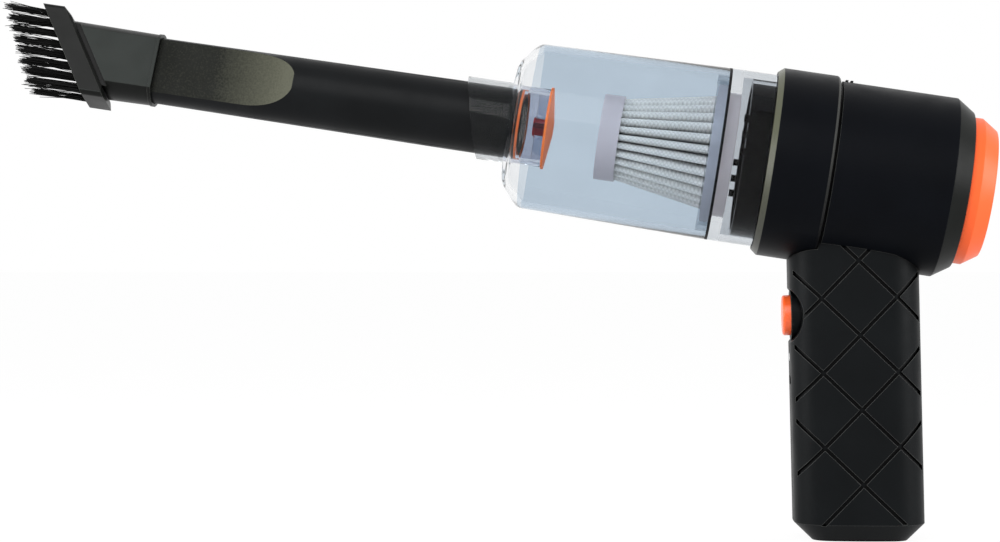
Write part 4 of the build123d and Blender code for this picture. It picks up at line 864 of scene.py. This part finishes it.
class VACUUM_OT_skins(bpy.types.Operator):
    """Lays smooth, softly edged copies over the outer solids"""
    bl_idname = "vacuum.skins"
    bl_label = "Outer skins"

    def execute(self, context):
        skins = {node: skin(node, FINISH_OF.get(node, SLOT_OF[node])) for node in SKINNED}
        collar_front, collar_rear, collar_radius = COLLAR_SPAN
        collar_middle = (collar_front + collar_rear) / 2
        # the collar's front chamfer and rear groove take finishes with painted reflection
        for finish, front in (("chamfer_black", True), ("groove_black", False)):
            second_finish(skins["front_collar"], finish, lambda station, size, normal, out:
                          slants(abs(normal.dot(REAR))) and size > collar_radius - RIM_BAND
                          and (station < collar_middle) == front)
        for node in ("left_shell", "right_shell"):
            # the grip takes its lighter black, painted light
            second_finish(skins[node], "grip_black", lambda station, size, normal, out:
                          out.dot(RISE) < -GRIP_BELOW and size > RIM_RADIUS
                          and (size > collar_radius + RIM_BAND or normal.dot(out) < ROUND_SHARE * size))
            second_finish(skins[node], "rim_black", lambda station, size, normal, out:
                          station > CAP_SPAN[0] - RIM_BEFORE and slants(normal.dot(REAR))
                          and RIM_RADIUS < size < collar_radius and normal.dot(out) > 0
                          and normal.dot(REAR) ** 2 + (normal.dot(out) / size) ** 2 > CONE_SHARE)
        disc_front = span_of("inlet_valve")[1] - DISC_DEPTH
        second_finish(skins["inlet_valve"], "stem_red", lambda station, size, normal, out:
                      size < STEM_RADIUS and station < disc_front)
        flat = max(skins["crevice_nozzle"].data.polygons, key=lambda polygon: polygon.area).normal.copy()
        # the nozzle's scarfs take grain with a painted highlight
        second_finish(skins["crevice_nozzle"], "nozzle_grain_and_painted_light", lambda station, size, normal, out:
                      abs(normal.dot(flat)) > SCARF_SHARE and size < NOZZLE_SPAN[2] - SCARF_DEPTH
                      and normal.dot(out) > 0 and station < SCARF_STATION)
        # the brush head's flat panels take a lighter black, painted reflection
        second_finish(skins["brush_head"], "panel_black", lambda station, size, normal, out:
                      abs(normal.dot(flat)) > PANEL_SHARE and normal.dot(out) > 0 and station > PANEL_STATION)
        return {"FINISHED"}


class VACUUM_OT_finishes(bpy.types.Operator):
    """Gives every solid that still shows its slot's finish"""
    bl_idname = "vacuum.finishes"
    bl_label = "Finishes"

    def execute(self, context):
        for node, piece in frame["nodes"].items():
            piece.data.materials.clear()
            piece.data.materials.append(material_of(SLOT_OF[node]))
        return {"FINISHED"}


class VACUUM_OT_stage(bpy.types.Operator):
    """Sets the pale floor, the soft lights, the white surroundings and the camera"""
    bl_idname = "vacuum.stage"
    bl_label = "Stage"

    def execute(self, context):
        stage = context.scene.vacuum_stage
        deselect()
        bpy.ops.mesh.primitive_plane_add(size=FLOOR_SIZE, location=(0, 0, FRAME_BOX[0].z - EDGE))
        floor = context.object
        floor.name = "floor"
        floor.data.materials.append(floor_finish())
        context.scene.world = surroundings(stage.sky)
        for name, (place, size) in LAMPS.items():
            bpy.ops.object.light_add(type="AREA", location=place)
            lamp = context.object
            lamp.name = name
            lamp.data.size = size
            lamp.data.energy = stage.key if name == "key_light" else stage.sides
            aim = Vector(stage.aim) - Vector(place)
            lamp.rotation_euler = aim.to_track_quat("-Z", "Y").to_euler()
        back = Vector((math.sin(stage.azimuth), -math.cos(stage.azimuth), 0.0))
        bpy.ops.object.camera_add(location=Vector(stage.aim) + back * stage.distance,
                                  rotation=(-back).to_track_quat("-Z", "Y").to_euler())
        camera = context.object
        camera.data.lens = stage.lens
        camera.data.sensor_width = SENSOR_WIDTH
        context.scene.camera = camera
        context.scene.view_settings.view_transform = "Standard"
        deselect()
        return {"FINISHED"}


def surroundings(sky):
    """White surroundings: full white where they are seen, a share of it as light."""
    world = bpy.data.worlds.new("white_surroundings")
    world.use_nodes = True
    tree = world.node_tree
    tree.nodes.clear()
    output = tree.nodes.new("ShaderNodeOutputWorld")
    ground = tree.nodes.new("ShaderNodeBackground")
    ground.inputs["Color"].default_value = (1.0, 1.0, 1.0, 1.0)
    tree.links.new(spread(tree, seen_directly(tree), sky, 1.0, 0.0, 1.0), ground.inputs["Strength"])
    tree.links.new(ground.outputs[0], output.inputs[0])
    return world


def seen_directly(tree):
    """1 for camera, glossy and transmission rays."""
    path = tree.nodes.new("ShaderNodeLightPath").outputs
    camera_or_glossy = calculate(tree, "MAXIMUM", path["Is Camera Ray"], path["Is Glossy Ray"])
    return calculate(tree, "MAXIMUM", camera_or_glossy, path["Is Transmission Ray"])


def floor_finish():
    """Plain pale floor: mostly white to the eye, and it keeps a soft shadow."""
    material = bpy.data.materials.new("pale_floor")
    material.use_nodes = True
    tree = material.node_tree
    tree.nodes.clear()
    output = tree.nodes.new("ShaderNodeOutputMaterial")
    matt = tree.nodes.new("ShaderNodeBsdfDiffuse")
    matt.inputs["Color"].default_value = (FLOOR_GREY, FLOOR_GREY, FLOOR_GREY, 1.0)
    glow = tree.nodes.new("ShaderNodeEmission")
    glow.inputs["Strength"].default_value = FLOOR_GLOW
    mix = tree.nodes.new("ShaderNodeMixShader")
    amount = spread(tree, seen_directly(tree), 0.0, FLOOR_GLOW_SHARE, 0.0, 1.0)
    for socket, source in zip(mix.inputs, (amount, matt.outputs[0], glow.outputs[0])):
        tree.links.new(source, socket)
    tree.links.new(mix.outputs[0], output.inputs[0])
    return material


class VACUUM_PT_panel(bpy.types.Panel):
    """Lists the pieces of the hand vacuum"""
    bl_label = "Hand vacuum"
    bl_idname = "VACUUM_PT_panel"
    bl_space_type = "VIEW_3D"
    bl_region_type = "UI"
    bl_category = "Hand vacuum"

    def draw(self, context):
        for operator in OPERATORS:
            self.layout.operator(operator.bl_idname)
        for name, _ in SETTINGS:
            box = self.layout.box()
            group = getattr(context.scene, name)
            for key in group.__annotations__:
                box.prop(group, key)


OPERATORS = (VACUUM_OT_cup, VACUUM_OT_pleats, VACUUM_OT_bristles, VACUUM_OT_skins, VACUUM_OT_finishes,
             VACUUM_OT_stage)
SETTINGS = (("vacuum_cup", CupSettings), ("vacuum_pleats", PleatSettings),
            ("vacuum_bristles", BristleSettings), ("vacuum_finish", FinishSettings),
            ("vacuum_stage", StageSettings))
CLASSES = tuple(group for _, group in SETTINGS) + OPERATORS + (VACUUM_PT_panel,)


def register():
    """Registers the classes and hangs the settings on the scene."""
    for item in CLASSES:
        bpy.utils.register_class(item)
    for name, group in SETTINGS:
        setattr(bpy.types.Scene, name, bpy.props.PointerProperty(type=group))


def unregister():
    """Takes the settings and the classes off again."""
    for name, _ in SETTINGS:
        delattr(bpy.types.Scene, name)
    for item in reversed(CLASSES):
        bpy.utils.unregister_class(item)


def main():
    """Builds everything in order."""
    register()
    bpy.ops.vacuum.finishes()
    bpy.ops.vacuum.cup()
    bpy.ops.vacuum.pleats()
    bpy.ops.vacuum.bristles()
    bpy.ops.vacuum.skins()
    bpy.ops.vacuum.stage()


if __name__ == "__main__":
    main()
